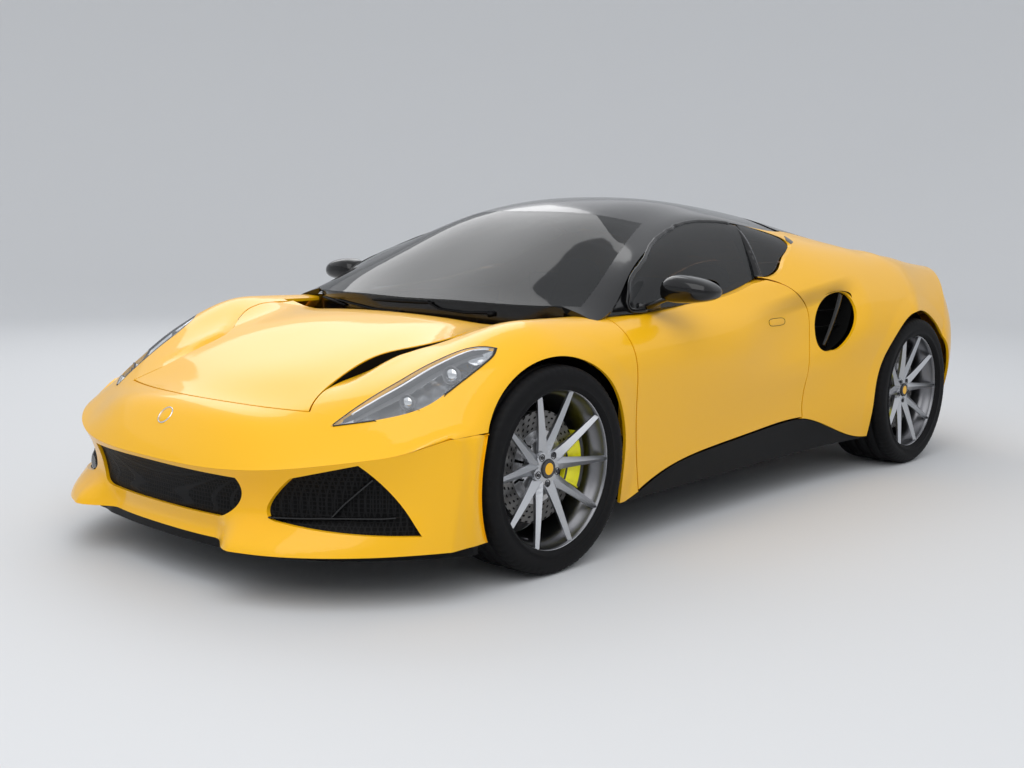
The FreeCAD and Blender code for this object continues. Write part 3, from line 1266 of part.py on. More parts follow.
def seats():
    pieces = []
    for side in (-1, 1):
        start = side * SEAT_X - SEAT_WIDTH / 2
        pieces.append(prism(joined_runs(from_side(SEAT_SHARES, start)), Vector(SEAT_WIDTH, 0, 0)))
    return Part.makeCompound(pieces)


def column_line():
    """The middle of the steering wheel's ring and the direction of its column."""
    tilt = math.radians(COLUMN_TILT)
    axis = Vector(0, math.cos(tilt), math.sin(tilt))
    return Vector(SEAT_X, station_y(RING_STATION_SHARE), RING_HEIGHT_SHARE * HEIGHT), axis


def dashboard():
    half = TUB_HALF_WIDTH - POST_WIDTH - SEAM
    body = prism(joined_runs(from_side(DASH_SHARES, -half)), Vector(2 * half, 0, 0))
    centre, axis = column_line()
    reach = COLUMN_LENGTH + COLUMN_GAP
    return body.cut(Part.makeCylinder(WHEEL_RING_WALL + RUNNING_GAP, reach, centre - axis * reach, axis))


def steering_wheel():
    centre, axis = column_line()
    parts = [Part.makeTorus(WHEEL_RING_RADIUS, WHEEL_RING_WALL, centre, axis)]
    parts.append(Part.makeCylinder(WHEEL_RING_WALL * 3, WHEEL_RING_WALL * 2, centre - axis * WHEEL_RING_WALL, axis))
    parts.append(Part.makeCylinder(WHEEL_RING_WALL, COLUMN_LENGTH, centre - axis * COLUMN_LENGTH, axis))
    for angle in (0, 180, 270):
        bar = Part.makeBox(WHEEL_RING_RADIUS, 2 * WHEEL_RING_WALL, WHEEL_RING_WALL)
        bar.translate(Vector(0, -WHEEL_RING_WALL, -WHEEL_RING_WALL / 2))
        bar.rotate(Vector(0, 0, 0), Vector(0, 0, 1), angle)
        bar.rotate(Vector(0, 0, 0), Vector(1, 0, 0), COLUMN_TILT - 90)
        bar.translate(centre)
        parts.append(bar)
    return fused(parts)


def engine():
    """The engine and gearbox as one block between the rails, on four feet."""
    (w, q0, h0), (q1, h1) = ENGINE_SHARES
    y0, y1 = station_y(q0), station_y(q1)
    parts = [rail_box(-w * HALF_WIDTH, w * HALF_WIDTH, y0, y1, h0 * HEIGHT, h1 * HEIGHT)]
    half = LINER_INNER_X - RAIL_WALL / 2
    rail_top = RAIL_Z + RAIL_HEIGHT / 2 + SEAM
    for foot_y in (y0, y1 - 1.5 * RAIL_WALL):
        parts.append(rail_box(-half, half, foot_y, foot_y + RAIL_WALL / 2, rail_top, rail_top + ARM_WALL))
    return fused(parts)


def side_skirt():
    slab = side_slab(BODY.point, spread(1.12, 1.9, 16), spread(0.0, 0.3, 8), DOOR_DEPTH + BULKHEAD_WALL)
    slab = kept(slab, side_prism(SILL_LINE_SHARES, -SWING_GAP / 2, TUB_HALF_WIDTH + SEAM))
    return slab.cut(FRONT_ARCH).cut(REAR_ARCH)


def ellipse_wire(x, centre, half_depth, half_height):
    """A closed oval across X, as one curve through evenly turned places."""
    places = []
    for step in range(OVAL_STEPS):
        turn = 2 * math.pi * step / OVAL_STEPS
        places.append(Vector(x, centre.y + half_depth * math.cos(turn), centre.z + half_height * math.sin(turn)))
    curve = Part.BSplineCurve()
    curve.interpolate(Points=places, PeriodicFlag=True)
    return Part.Wire([curve.toShape()])


def mirror_piece(door_panel):
    """A mirror's housing, drawn through ovals, on an arm and a foot that seats on the door."""
    centre = Vector(0, station_y(MIRROR_STATION_SHARE), MIRROR_Z)
    wires = []
    for along, depth, height in MIRROR_SHARES:
        x = MIRROR_INNER_X + along * MIRROR_LENGTH
        wires.append(ellipse_wire(x, centre, depth * MIRROR_DEPTH / 2, height * MIRROR_HEIGHT / 2))
    shell = Part.makeLoft(wires, True)
    arm = rail_box(MIRROR_FOOT_X, MIRROR_INNER_X + MIRROR_LENGTH / 2, centre.y - MIRROR_ARM, centre.y + MIRROR_ARM,
                   MIRROR_Z - MIRROR_HEIGHT / 2 - MIRROR_ARM, MIRROR_Z - MIRROR_HEIGHT / 4)
    foot = rail_box(MIRROR_FOOT_X, MIRROR_FOOT_X + MIRROR_ARM, centre.y - MIRROR_ARM, centre.y + MIRROR_ARM,
                    MIRROR_Z - 2 * MIRROR_HEIGHT, MIRROR_Z - MIRROR_HEIGHT / 4)
    seat = door_panel.copy()
    seat.translate(Vector(0, 0, SEAM))
    return main_solid(fused([shell, arm, foot]).cut(seat))


def cowl():
    """The black panel between the hood and the windscreen: a floor on the shelf and a riser up to the glass."""
    low = shelf_top() + SEAM
    slab = rail_box(-HALF_WIDTH, HALF_WIDTH, NOSE_Y, 0, low, low + OVERRUN / 2)
    riser = top_prism(COWL_RISER_SHARES, 0, low).common(slab)
    over_glass = cabin_sheet(1.04, 1.35, 0.15, 1.85, OVERRUN / 4 + GLASS_WALL + SEAM, OVERRUN / 4)
    riser = main_solid(opened(riser, over_glass))
    sole = rail_box(-HALF_WIDTH, HALF_WIDTH, NOSE_Y, 0, low, low + PANEL_WALL / 2)
    floor = top_prism(COWL_FLOOR_SHARES, 0, low).common(sole)
    return fused([riser, main_solid(floor)])


def wipers():
    """Two blades that lie on the glass, each with an arm to a spindle on the cowl's floor."""
    pieces = []
    floor_z = shelf_top() + 2 * SEAM + PANEL_WALL / 2
    glass = cabin_sheet(1.04, 1.35, 0.15, 1.85, PANEL_WALL, SEAM)
    for pivot_w, pivot_q, v0, v1, q0, q1, hold in WIPER_SHARES:
        def line(s, t, v0=v0, v1=v1, q0=q0, q1=q1):
            return CABIN.point(q0 + (q1 - q0) * s + t * BLADE_WIDTH / WHEELBASE, v0 + (v1 - v0) * s)
        blade = sheet(line, spread(0, 1, 8), [0, 0.5, 1], -BLADE_WALL, -BLADE_WALL - SEAM)
        grip = line(hold, 0.5) + Vector(0, 0, BLADE_WALL)
        pivot = Vector(pivot_w * HALF_WIDTH, station_y(pivot_q), floor_z)
        top = Vector(pivot.x, pivot.y, grip.z)
        post = Part.makeCylinder(PIVOT_RADIUS, top.z + WIPER_ARM_RADIUS - floor_z, pivot)
        arm = Part.makeCylinder(WIPER_ARM_RADIUS, (grip - top).Length, top, grip - top)
        pieces.append(main_solid(opened(fused([post, arm]), glass).fuse(blade)))
    return Part.makeCompound(pieces)


def save(shapes):
    os.makedirs("parts", exist_ok=True)
    for name, shape in shapes.items():
        shape.exportStep("parts/" + name + ".step")


def main():
    nose, fender, panel = nose_panel(), front_fender(), door()
    shapes = {
        "chassis": chassis(), "suspension_arms": suspension_arms(), "arch_liners": arch_liners(fender),
        "engine": engine(), "seats": seats(), "dashboard": dashboard(), "steering_wheel": steering_wheel(),
        "nose_panel": nose, "front_bumper": front_bumper(nose), "front_grilles": front_grilles(),
        "front_splitter": front_splitter(), "hood": hood(), "cowl": cowl(), "wipers": wipers(),
        "windscreen": windscreen(), "roof": roof(), "rear_lid": rear_lid(), "rear_window": rear_window(),
        "rear_body": rear_body(), "rear_bumper": rear_bumper(), "tail_lamps": tail_lamps(),
        "diffuser": diffuser(), "exhaust_tips": exhaust_tips(),
    }
    for name, left in (("quarter_windows", quarter_window()), ("headlamps", headlamp()), ("side_skirts", side_skirt())):
        shapes[name] = Part.makeCompound([left, mirrored(left)])
    sided = {"front_fender": fender, "door": panel, "door_glass": door_glass(), "mirror": mirror_piece(panel)}
    for front, end in ((True, "front"), (False, "rear")):
        for maker in (tyre, rim, disc, upright):
            sided[maker.__name__ + "_" + end] = maker(front)
    for name, left in sided.items():
        shapes[name + "_left"] = left
        shapes[name + "_right"] = mirrored(left)
    save(shapes)


main()
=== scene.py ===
import json
import math

import bmesh
import bpy
import numpy as np
from mathutils import Matrix, Vector
from mathutils.bvhtree import BVHTree


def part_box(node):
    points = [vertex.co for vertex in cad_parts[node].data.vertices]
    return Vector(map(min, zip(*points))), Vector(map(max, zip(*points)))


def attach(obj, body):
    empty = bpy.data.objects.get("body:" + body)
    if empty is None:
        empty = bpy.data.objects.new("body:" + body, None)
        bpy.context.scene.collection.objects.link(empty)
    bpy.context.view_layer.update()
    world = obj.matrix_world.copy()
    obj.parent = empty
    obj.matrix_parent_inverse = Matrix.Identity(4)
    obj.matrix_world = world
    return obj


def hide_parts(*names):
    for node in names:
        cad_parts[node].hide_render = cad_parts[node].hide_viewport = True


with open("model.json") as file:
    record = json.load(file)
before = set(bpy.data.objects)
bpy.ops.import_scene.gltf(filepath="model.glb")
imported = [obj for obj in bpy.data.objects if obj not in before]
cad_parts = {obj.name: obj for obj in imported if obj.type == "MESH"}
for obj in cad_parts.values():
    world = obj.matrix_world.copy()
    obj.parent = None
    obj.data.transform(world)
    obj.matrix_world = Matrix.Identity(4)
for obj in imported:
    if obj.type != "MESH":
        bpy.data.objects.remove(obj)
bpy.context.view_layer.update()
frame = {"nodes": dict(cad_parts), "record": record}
nodes = frame["nodes"]

SIDES = (("left", 1.0), ("right", -1.0))
ENDS = ("front", "rear")

# The camera that took the photograph, fitted to the wheels, mirrors and roof, and its picture.
CAMERA_PLACE = Vector((3.449, -4.289, 1.162))
CAMERA_AZIMUTH = math.radians(42.277)
CAMERA_ELEVATION = math.radians(7.873)
CAMERA_ROLL = math.radians(0.585)
CAMERA_LENS = 43.94
SENSOR_WIDTH = 36.0
PICTURE_WIDTH = 1024
PICTURE_HEIGHT = 768


def camera_axes():
    """The camera's right, up and backward directions."""
    back = Vector((math.sin(CAMERA_AZIMUTH) * math.cos(CAMERA_ELEVATION),
                   -math.cos(CAMERA_AZIMUTH) * math.cos(CAMERA_ELEVATION), math.sin(CAMERA_ELEVATION)))
    level = Vector((0, 0, 1)).cross(back).normalized()
    rise = back.cross(level)
    right = level * math.cos(CAMERA_ROLL) + rise * math.sin(CAMERA_ROLL)
    up = rise * math.cos(CAMERA_ROLL) - level * math.sin(CAMERA_ROLL)
    return right, up, back


def sight(pixel):
    """The direction from the camera through a pixel of the photograph."""
    right, up, back = camera_axes()
    scale = SENSOR_WIDTH / PICTURE_WIDTH / CAMERA_LENS
    across, rise = (pixel[0] - PICTURE_WIDTH / 2) * scale, (PICTURE_HEIGHT / 2 - pixel[1]) * scale
    return (right * across + up * rise - back).normalized()


# Directions of the rays that lay pieces on the skin, a distance outside the car, and a ray that met nothing.
DOWN = (0, 0, -1)
INWARDS = (-1, 0, 0)
OUTWARDS = (1, 0, 0)
FORWARDS = (0, -1, 0)
OUTSIDE = 1.3
BEHIND = 3.0
MISSED = (np.nan,) * 3


class Skin:
    """The surface of some CAD nodes at rest, for laying pieces on."""

    def __init__(self, *names):
        corners, triangles, first = [], [], 0
        for name in names:
            mesh = nodes[name].data
            mesh.calc_loop_triangles()
            places = np.empty(len(mesh.vertices) * 3, np.float32)
            mesh.vertices.foreach_get("co", places)
            picks = np.empty(len(mesh.loop_triangles) * 3, np.int32)
            mesh.loop_triangles.foreach_get("vertices", picks)
            corners.append(places.reshape(-1, 3))
            triangles.append(picks.reshape(-1, 3) + first)
            first += len(mesh.vertices)
        corners, triangles = np.concatenate(corners), np.concatenate(triangles)
        self.tree = BVHTree.FromPolygons(corners.tolist(), triangles.tolist())

    def hit(self, start, direction, lift=0.0):
        """Where a ray meets the skin, lifted back towards its start, or None."""
        place, normal, _, _ = self.tree.ray_cast(Vector(start), Vector(direction))
        if place is None:
            return None
        if normal.dot(Vector(direction)) > 0:
            normal = -normal
        return place + normal * lift

    def met(self, starts, direction, lift=0.0):
        """Where parallel rays from an array of places meet the skin, in the same shape; a miss is nan."""
        hits = [self.hit(start, direction, lift) for start in np.reshape(starts, (-1, 3))]
        places = [MISSED if hit is None else tuple(hit) for hit in hits]
        return np.array(places).reshape(np.shape(starts))

    def traced(self, pixels, lift=0.0, step=4.0):
        """Places on the skin under a line through pixels of the photograph, one for each step of pixels."""
        line = spaced(pixels, step)
        hits = [self.hit(CAMERA_PLACE, sight(pixel), lift) for pixel in line]
        return np.array([tuple(place) for place in hits if place is not None])

    def dropped(self, starts, direction, lift=0.0):
        """The places that parallel rays from a row of places meet, without the misses."""
        places = self.met(starts, direction, lift)
        return places[~np.isnan(places[:, 0])]


def spaced(points, step):
    """A polyline's points, spaced evenly at about a step: places at equal shares of its length."""
    points = np.array(points, float)
    runs = np.linalg.norm(np.diff(points, axis=0), axis=1)
    along = np.concatenate([[0.0], np.cumsum(runs)])
    marks = np.linspace(0.0, along[-1], max(2, int(round(along[-1] / step)) + 1))
    return np.stack([np.interp(marks, along, points[:, k]) for k in range(points.shape[1])], 1)


def rounded(points, count, closed=False):
    """A smooth curve of count points through the given ones: a Catmull-Rom spline."""
    points = np.array(points, float)
    before, after = (points[-1:], points[:2]) if closed else (points[:1], points[-1:])
    ring = np.vstack([before, points, after])
    spans = len(points) if closed else len(points) - 1
    t = np.linspace(0.0, spans, count, endpoint=not closed)
    k = np.minimum(t.astype(int), spans - 1)
    u = (t - k)[:, None]
    a, b, c, d = (ring[k + shift] for shift in range(4))
    return b + 0.5 * u * (c - a + u * (2 * a - 5 * b + 4 * c - d + u * (3 * (b - c) + d - a)))


def places_at(x, y, z):
    """An array of places from their coordinates, each an array or one number."""
    return np.stack(np.broadcast_arrays(x, y, z), -1)


def bent(value, power):
    """A value's size raised to a power, with its sign kept."""
    return np.sign(value) * np.abs(value) ** power


def superellipse(count, halves, powers):
    """The two coordinates of a ring: each half size times the bent cosine or sine."""
    turn = np.linspace(0.0, 2 * math.pi, count, endpoint=False)
    return halves[0] * bent(np.cos(turn), powers[0]), halves[1] * bent(np.sin(turn), powers[1])


def closed_ends(rows):
    """Rows of places with a row more at each end, all at the middle of the last one."""
    first, last = (np.broadcast_to(rows[k].mean(0), rows[k].shape)[None] for k in (0, -1))
    return np.concatenate([first, rows, last])


# A form is a list of (points, faces, smooth) parts, ready to be joined in one mesh.


def grid(points, wrap_rows=False, wrap_columns=False, smooth=True):
    """The quads between an array of points of shape (rows, columns, 3)."""
    rows, columns = points.shape[:2]
    spans = np.arange(rows - (not wrap_rows)), np.arange(columns - (not wrap_columns))
    i, j = np.meshgrid(*spans, indexing="ij")
    down, over = (i + 1) % rows, (j + 1) % columns
    quads = np.stack([i * columns + j, down * columns + j, down * columns + over, i * columns + over], -1)
    return [(points.reshape(-1, 3), quads.reshape(-1, 4), smooth)]


def turned(profile, segments, smooth=True, start=0.0, end=2 * math.pi):
    """A profile of (x, radius) turned about X: (x, r sin a, r cos a)."""
    profile = np.array(profile, float)
    whole = end - start > 2 * math.pi - 1e-6
    angles = np.linspace(start, end, segments, endpoint=not whole)[:, None]
    x, radius = profile.T
    return grid(places_at(x, radius * np.sin(angles), radius * np.cos(angles)), wrap_rows=whole, smooth=smooth)


def swept(path, section, up=(0, 0, 1), scale=None, closed=False, smooth=True):
    """A closed section of (across, up) points carried along a path, with its ends closed to a point."""
    path = np.array(path, float)
    section = np.array(section, float)
    if closed:
        tangent = np.roll(path, -1, 0) - np.roll(path, 1, 0)
    else:
        tangent = np.gradient(path, axis=0)
    tangent /= np.linalg.norm(tangent, axis=1, keepdims=True)
    across = np.cross(tangent, np.broadcast_to(np.array(up, float), path.shape))
    across /= np.linalg.norm(across, axis=1, keepdims=True)
    rise = np.cross(across, tangent)
    scale = np.ones(len(path)) if scale is None else np.array(scale, float)
    spread = section[None] * scale[:, None, None]
    points = path[:, None] + spread[..., :1] * across[:, None] + spread[..., 1:] * rise[:, None]
    return grid(points if closed else closed_ends(points), wrap_rows=closed, wrap_columns=True, smooth=smooth)


def oval(across, rise=None, count=8):
    """A section: count points of an ellipse."""
    turn = np.linspace(0.0, 2 * math.pi, count, endpoint=False)
    return np.stack([across * np.cos(turn), (rise or across) * np.sin(turn)], 1)


def bar_section(width, height):
    """A section: a rectangle about its middle."""
    half, tall = width / 2, height / 2
    return [(-half, -tall), (half, -tall), (half, tall), (-half, tall)]


def pad(centre, halves, power=2.6, tilt=0.0, count=24):
    """A crowned cushion: a superellipsoid |x/a|^p + |y/b|^p + |z/c|^p = 1, tilted about X."""
    latitude = np.linspace(-math.pi / 2, math.pi / 2, count)[:, None]
    across, along = superellipse(2 * count, (1.0, 1.0), (2 / power, 2 / power))
    ring = bent(np.cos(latitude), 2 / power)
    points = places_at(ring * across, ring * along, bent(np.sin(latitude), 2 / power)) * halves
    cos, sin = math.cos(tilt), math.sin(tilt)
    points = points @ np.array([[1, 0, 0], [0, cos, sin], [0, -sin, cos]])
    return grid(points + np.array(centre, float), wrap_columns=True)


def moved(form, shift, side=1.0):
    """A form mirrored to a side of the car and moved to its place."""
    made = []
    for points, faces, smooth in form:
        faces = faces if side > 0 else faces[:, ::-1]
        made.append((points * np.array([side, 1.0, 1.0]) + np.array(shift, float), faces, smooth))
    return made


def mirrored(form):
    """A form's mirror image on the other side of the car."""
    return moved(form, (0, 0, 0), -1.0)


MERGE_DISTANCE = 1e-6
CAR_MIDDLE = Vector((0.0, 0.0, 0.5))


def turned_out(mesh):
    """Closes a mesh's seams and points its faces outwards, an open sheet's away from the car's middle."""
    work = bmesh.new()
    work.from_mesh(mesh)
    bmesh.ops.remove_doubles(work, verts=work.verts, dist=MERGE_DISTANCE)
    bmesh.ops.recalc_face_normals(work, faces=work.faces)
    if any(edge.is_boundary for edge in work.edges):
        flow = sum(face.normal.dot(face.calc_center_median() - CAR_MIDDLE) * face.calc_area()
                   for face in work.faces)
        if flow < 0:
            bmesh.ops.reverse_faces(work, faces=work.faces)
    work.to_mesh(mesh)
    work.free()


def linked(name, data):
    """A new object of the scene that shows a mesh, a lamp or a camera."""
    made = bpy.data.objects.new(name, data)
    bpy.context.scene.collection.objects.link(made)
    return made


def mesh_of(name, form, material):
    """A mesh made of a form's parts."""
    first, corners, polygons, smooth = 0, [], [], []
    for points, faces, is_smooth in form:
        corners.append(points)
        polygons += (faces + first).tolist()
        smooth += [is_smooth] * len(faces)
        first += len(points)
    mesh = bpy.data.meshes.new(name)
    mesh.from_pydata(np.concatenate(corners).tolist(), [], polygons)
    mesh.polygons.foreach_set("use_smooth", smooth)
    mesh.materials.append(material)
    return mesh


def piece(name, form, material, body="body", replaces=()):
    """One object made of a form's parts, riding on a body."""
    mesh = mesh_of(name, form, material)
    turned_out(mesh)
    made = linked(name, mesh)
    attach(made, body)
    if replaces:
        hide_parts(*replaces)
    return made


class Link:
    """A shader socket that can stand in a sum: each operator adds its Math node."""

    def __init__(self, finish, socket):
        self.finish = finish
        self.socket = socket

    def __add__(self, other):
        return self.finish.math("ADD", self, other)

    def __sub__(self, other):
        return self.finish.math("SUBTRACT", self, other)

    def __mul__(self, other):
        return self.finish.math("MULTIPLY", self, other)

    def __radd__(self, other):
        return self.finish.math("ADD", other, self)

    def __rsub__(self, other):
        return self.finish.math("SUBTRACT", other, self)

    def __rmul__(self, other):
        return self.finish.math("MULTIPLY", other, self)

    def out(self, name):
        """Another output of the same node."""
        return Link(self.finish, self.socket.node.outputs[name])


class Finish:
    """A material in the making: node() adds a shader node and gives its first output; tuples are colours."""

    def __init__(self, name):
        self.material = bpy.data.materials.new(name)
        self.material.use_nodes = True
        self.tree = self.material.node_tree
        self.tree.nodes.clear()

    def node(self, kind, settings=None, sockets=None):
        """A shader node with its settings, and its sockets linked or set."""
        made = self.tree.nodes.new("ShaderNode" + kind)
        for key, value in (settings or {}).items():
            setattr(made, key, value)
        for key, value in (sockets or {}).items():
            if isinstance(value, Link):
                self.tree.links.new(value.socket, made.inputs[key])
            else:
                made.inputs[key].default_value = (*value, 1.0) if isinstance(value, tuple) else value
        return Link(self, made.outputs[0]) if made.outputs else None

    def place(self):
        """The shaded point's place on the object."""
        return self.node("TexCoord").out("Object")

    def noise(self, scale, detail=2.0):
        """Cloudy noise from 0 to 1, finer for a higher scale."""
        sockets = {"Vector": self.place(), "Scale": scale, "Detail": detail}
        return self.node("TexNoise", None, sockets).out("Fac")

    def math(self, operation, *values):
        """A Math node."""
        return self.node("Math", {"operation": operation}, dict(enumerate(values)))

    def radius(self, across, rise):
        """The distance from an axle: the root of the sum of two squares."""
        return self.math("SQRT", across * across + rise * rise)

    def steps(self, value, low, high):
        """A smooth step of a value from 0 at low to 1 at high."""
        settings = {"interpolation_type": "SMOOTHSTEP"}
        return self.node("MapRange", settings, {"Value": value, "From Min": low, "From Max": high})

    def blend(self, share, first, second):
        """A colour between two colours, by a share."""
        mixed = self.node("Mix", {"data_type": "RGBA"}, {"Factor": share, 6: first, 7: second})
        return Link(self, mixed.socket.node.outputs[2])

    def bump(self, height, distance, strength=1.0):
        """A normal tilted by a height of a distance in metres."""
        return self.node("Bump", None, {"Height": height, "Distance": distance, "Strength": strength})

    def surface(self, **values):
        """Ends the material in one Principled shader, with its sockets named in Python's way."""
        sockets = {key.replace("_", " "): value for key, value in values.items()}
        shader = self.node("BsdfPrincipled", None, sockets)
        self.node("OutputMaterial", None, {"Surface": shader})
        return self.material


def axle(end):
    """The (y, z) place of an end's axle: the middle of its tyre's box."""
    low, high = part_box("tyre_" + end + "_left")
    return (low[1] + high[1]) / 2, (low[2] + high[2]) / 2


# The scallop in the paint's bump: (y, z) places on its upper crease, its depth and height, how far below the
# crease it begins and is deepest, where it fades in and out along the car, and the flare round each wheel.
SCALLOP_CREASE = ((-0.24, 0.755), (0.95, 0.905))
SCALLOP_DEPTH = 0.05
SCALLOP_TOP = (-0.02, 0.06)
SCALLOP_FOOT = (0.27, 0.07)
SCALLOP_RUN = (-0.15, 0.42)
SCALLOP_END = (0.86, 0.62)
FLARE_HEIGHT = 0.012
FLARE_RADII = (0.46, 0.375)


def side_form(f):
    """The height of the side's scallop and of the flare round each wheel, from a place's y and z."""
    place = f.node("SeparateXYZ", None, {"Vector": f.place()})
    y, z = place.out("Y"), place.out("Z")
    (y0, z0), (y1, z1) = SCALLOP_CREASE
    under = z0 + (y - y0) * ((z1 - z0) / (y1 - y0)) - z
    along = f.steps(y, *SCALLOP_RUN) * f.steps(y, *SCALLOP_END)
    height = -1.0 * along * f.steps(under, *SCALLOP_TOP) * f.steps(under, *SCALLOP_FOOT) * SCALLOP_DEPTH
    for end in ENDS:
        axle_y, axle_z = axle(end)
        height = height + f.steps(f.radius(y - axle_y, z - axle_z), *FLARE_RADII) * FLARE_HEIGHT
    return height


def body_paint():
    """Yellow gloss paint: a faint mottle of the pigment under a clear coat with fine orange peel."""
    f = Finish("body_paint")
    colour = f.blend(f.noise(900.0, 1.0), (0.95, 0.50, 0.003), (0.92, 0.478, 0.002))
    peel = {"Height": f.noise(260.0, 1.0), "Distance": 0.00002, "Strength": 0.5}
    peel["Normal"] = f.bump(side_form(f), 1.0)
    return f.surface(Base_Color=colour, Roughness=0.4, Specular_IOR_Level=0.2, Coat_Weight=0.55,
                     Coat_Roughness=0.05, Normal=f.node("Bump", None, peel))


def gloss_black():
    """Black gloss paint with a little dust, which dulls it in clouds."""
    f = Finish("gloss_black")
    return f.surface(Base_Color=(0.004, 0.004, 0.0045), Roughness=0.12 + 0.06 * f.noise(30.0, 4.0),
                     Specular_IOR_Level=0.3, Coat_Weight=0.3, Coat_Roughness=0.03)


def grained(name, colour, roughness, scale, depth, shine=0.5):
    """Moulded plastic, rubber, leather or iron: a fine grain in relief, and broader clouds in its tone."""
    f = Finish(name)
    grain = f.bump(f.noise(scale, 3.0), depth)
    tone = f.blend(f.noise(scale / 8, 3.0), colour, tuple(c * 1.5 for c in colour))
    return f.surface(Base_Color=tone, Roughness=roughness, Specular_IOR_Level=shine, Normal=grain)


def metal(name, colour, roughness, scale):
    """Metal whose roughness varies a little in clouds."""
    f = Finish(name)
    return f.surface(Base_Color=colour, Metallic=1.0, Roughness=roughness - 0.015 + 0.03 * f.noise(scale, 4.0))


def tinted_glass(name, colour, alpha):
    """A dark or clear pane with a faint haze."""
    f = Finish(name)
    return f.surface(Base_Color=colour, Roughness=0.02 + 0.02 * f.noise(6.0, 2.0), Alpha=alpha,
                     Specular_IOR_Level=0.35)


def woven_mesh():
    """A honeycomb grille: paler bars of black plastic, the cells between them painted near-black as the shade
    in their openings, from the distance to the nearest cell's edge.
    """
    f = Finish("grille_mesh")
    sockets = {"Vector": f.place(), "Scale": 75.0, "Randomness": 0.0}
    bars = f.steps(f.node("TexVoronoi", {"feature": "DISTANCE_TO_EDGE"}, sockets), 0.16, 0.08)
    # the cells' near-black is painted shade in the grille's openings; the bars keep the plastic's own colour
    tone = f.blend(bars, (0.0008, 0.0008, 0.0009), (0.009, 0.009, 0.0095))
    return f.surface(Base_Color=tone, Roughness=0.5, Specular_IOR_Level=0.1, Normal=f.bump(bars, 0.002))


# A brake disc's face: the ring of the first holes, the spacing of the rings, how many holes one ring has and by
# what share each ring is turned from the last, and the hat's radius, slots and the radii that they lie between.
HOLE_RADIUS = 0.124
HOLE_SPACING = 0.0165
HOLE_COUNT = 36.0
HOLE_TWIST = 0.35
HOLE_EDGE = (0.26, 0.16)
HAT_EDGE = (0.1225, 0.1215)
SLOT_COUNT = 10.0
SLOT_EDGE = (0.08, 0.05)
SLOT_INNER = (0.085, 0.088)
SLOT_OUTER = (0.121, 0.119)


def brake_iron(end):
    """A drilled disc round an axle: cast iron with rings of holes and a bright slotted hat inside a radius, the
    holes and slots painted near-black as the shade inside them.
    """
    f = Finish("disc_" + end)
    place = f.node("SeparateXYZ", None, {"Vector": f.place()})
    axle_y, axle_z = axle(end)
    y, z = place.out("Y") - axle_y, place.out("Z") - axle_z
    radius = f.radius(y, z)
    turn = f.math("ARCTAN2", z, y) * (1 / (2 * math.pi))
    ring = (radius - HOLE_RADIUS) * (1 / HOLE_SPACING)
    across = f.math("FRACT", turn * HOLE_COUNT + ring * HOLE_TWIST) - 0.5
    out = f.math("FRACT", ring) - 0.5
    holes = f.steps(f.radius(across, out), *HOLE_EDGE) * f.steps(radius, HOLE_RADIUS, HOLE_RADIUS + 0.002)
    slots = f.steps(f.math("ABSOLUTE", f.math("FRACT", turn * SLOT_COUNT) - 0.5), *SLOT_EDGE)
    slots = slots * f.steps(radius, *SLOT_INNER) * f.steps(radius, *SLOT_OUTER)
    hat = f.steps(radius, *HAT_EDGE)
    face = f.blend(hat, (0.20, 0.195, 0.19), (0.62, 0.62, 0.63))
    # holes and slots: painted shade, near-black where the drillings and grooves are dark inside, over a shallow
    # bump
    dark = f.math("MAXIMUM", holes, slots)
    colour = f.blend(dark, face, (0.006, 0.006, 0.006))
    relief = f.bump(-1.0 * dark, 0.002)
    return f.surface(Base_Color=colour, Metallic=0.8, Roughness=0.42 - 0.1 * hat, Normal=relief)


PAINT = body_paint()
BLACK = gloss_black()
MESH = woven_mesh()
PLASTIC = grained("black_plastic", (0.004, 0.004, 0.0045), 0.45, 900.0, 0.00008, 0.1)
UNDERBODY = grained("underbody", (0.006, 0.006, 0.0065), 0.7, 300.0, 0.0003, 0.08)
LEATHER = grained("leather", (0.014, 0.014, 0.015), 0.5, 700.0, 0.0002, 0.3)
TRIM_CLOTH = grained("cabin_trim", (0.010, 0.010, 0.011), 0.8, 1200.0, 0.0002, 0.2)
CARRIER = grained("carrier_iron", (0.05, 0.05, 0.052), 0.6, 200.0, 0.0002, 0.3)
RUBBER = grained("tyre_rubber", (0.0065, 0.0065, 0.007), 0.6, 500.0, 0.0001, 0.1)
LAMP_GREY = grained("lamp_bezel", (0.09, 0.09, 0.095), 0.35, 300.0, 0.00005)
LIGHT_GUIDE = grained("light_guide", (0.85, 0.86, 0.88), 0.25, 200.0, 0.00002)
CALIPER = grained("caliper_paint", (0.80, 0.74, 0.012), 0.3, 200.0, 0.00005)
# near-black: the dark of the handles' shut lines, and painted shade in the intake ducts and under the hood's
# edges
SHADOW = grained("shut_line_and_painted_shade", (0.002, 0.002, 0.002), 0.8, 400.0, 0.0001, 0.1)
SILVER = metal("wheel_silver", (0.52, 0.53, 0.55), 0.3, 15.0)
BARREL = metal("wheel_barrel", (0.20, 0.20, 0.21), 0.35, 40.0)
STEEL = metal("bright_steel", (0.72, 0.72, 0.73), 0.15, 80.0)
DARK_STEEL = metal("dark_steel", (0.08, 0.08, 0.085), 0.4, 60.0)
REFLECTOR = metal("lamp_reflector", (0.62, 0.64, 0.67), 0.22, 30.0)
MIRROR_GLASS = metal("mirror_glass", (0.8, 0.82, 0.84), 0.06, 20.0)
GLASS = tinted_glass("smoked_glass", (0.006, 0.007, 0.0075), 0.72)
LENS = tinted_glass("lamp_lens", (0.80, 0.83, 0.86), 0.16)
RED = tinted_glass("lamp_red", (0.35, 0.004, 0.006), 0.97)
DISCS = {end: brake_iron(end) for end in ENDS}

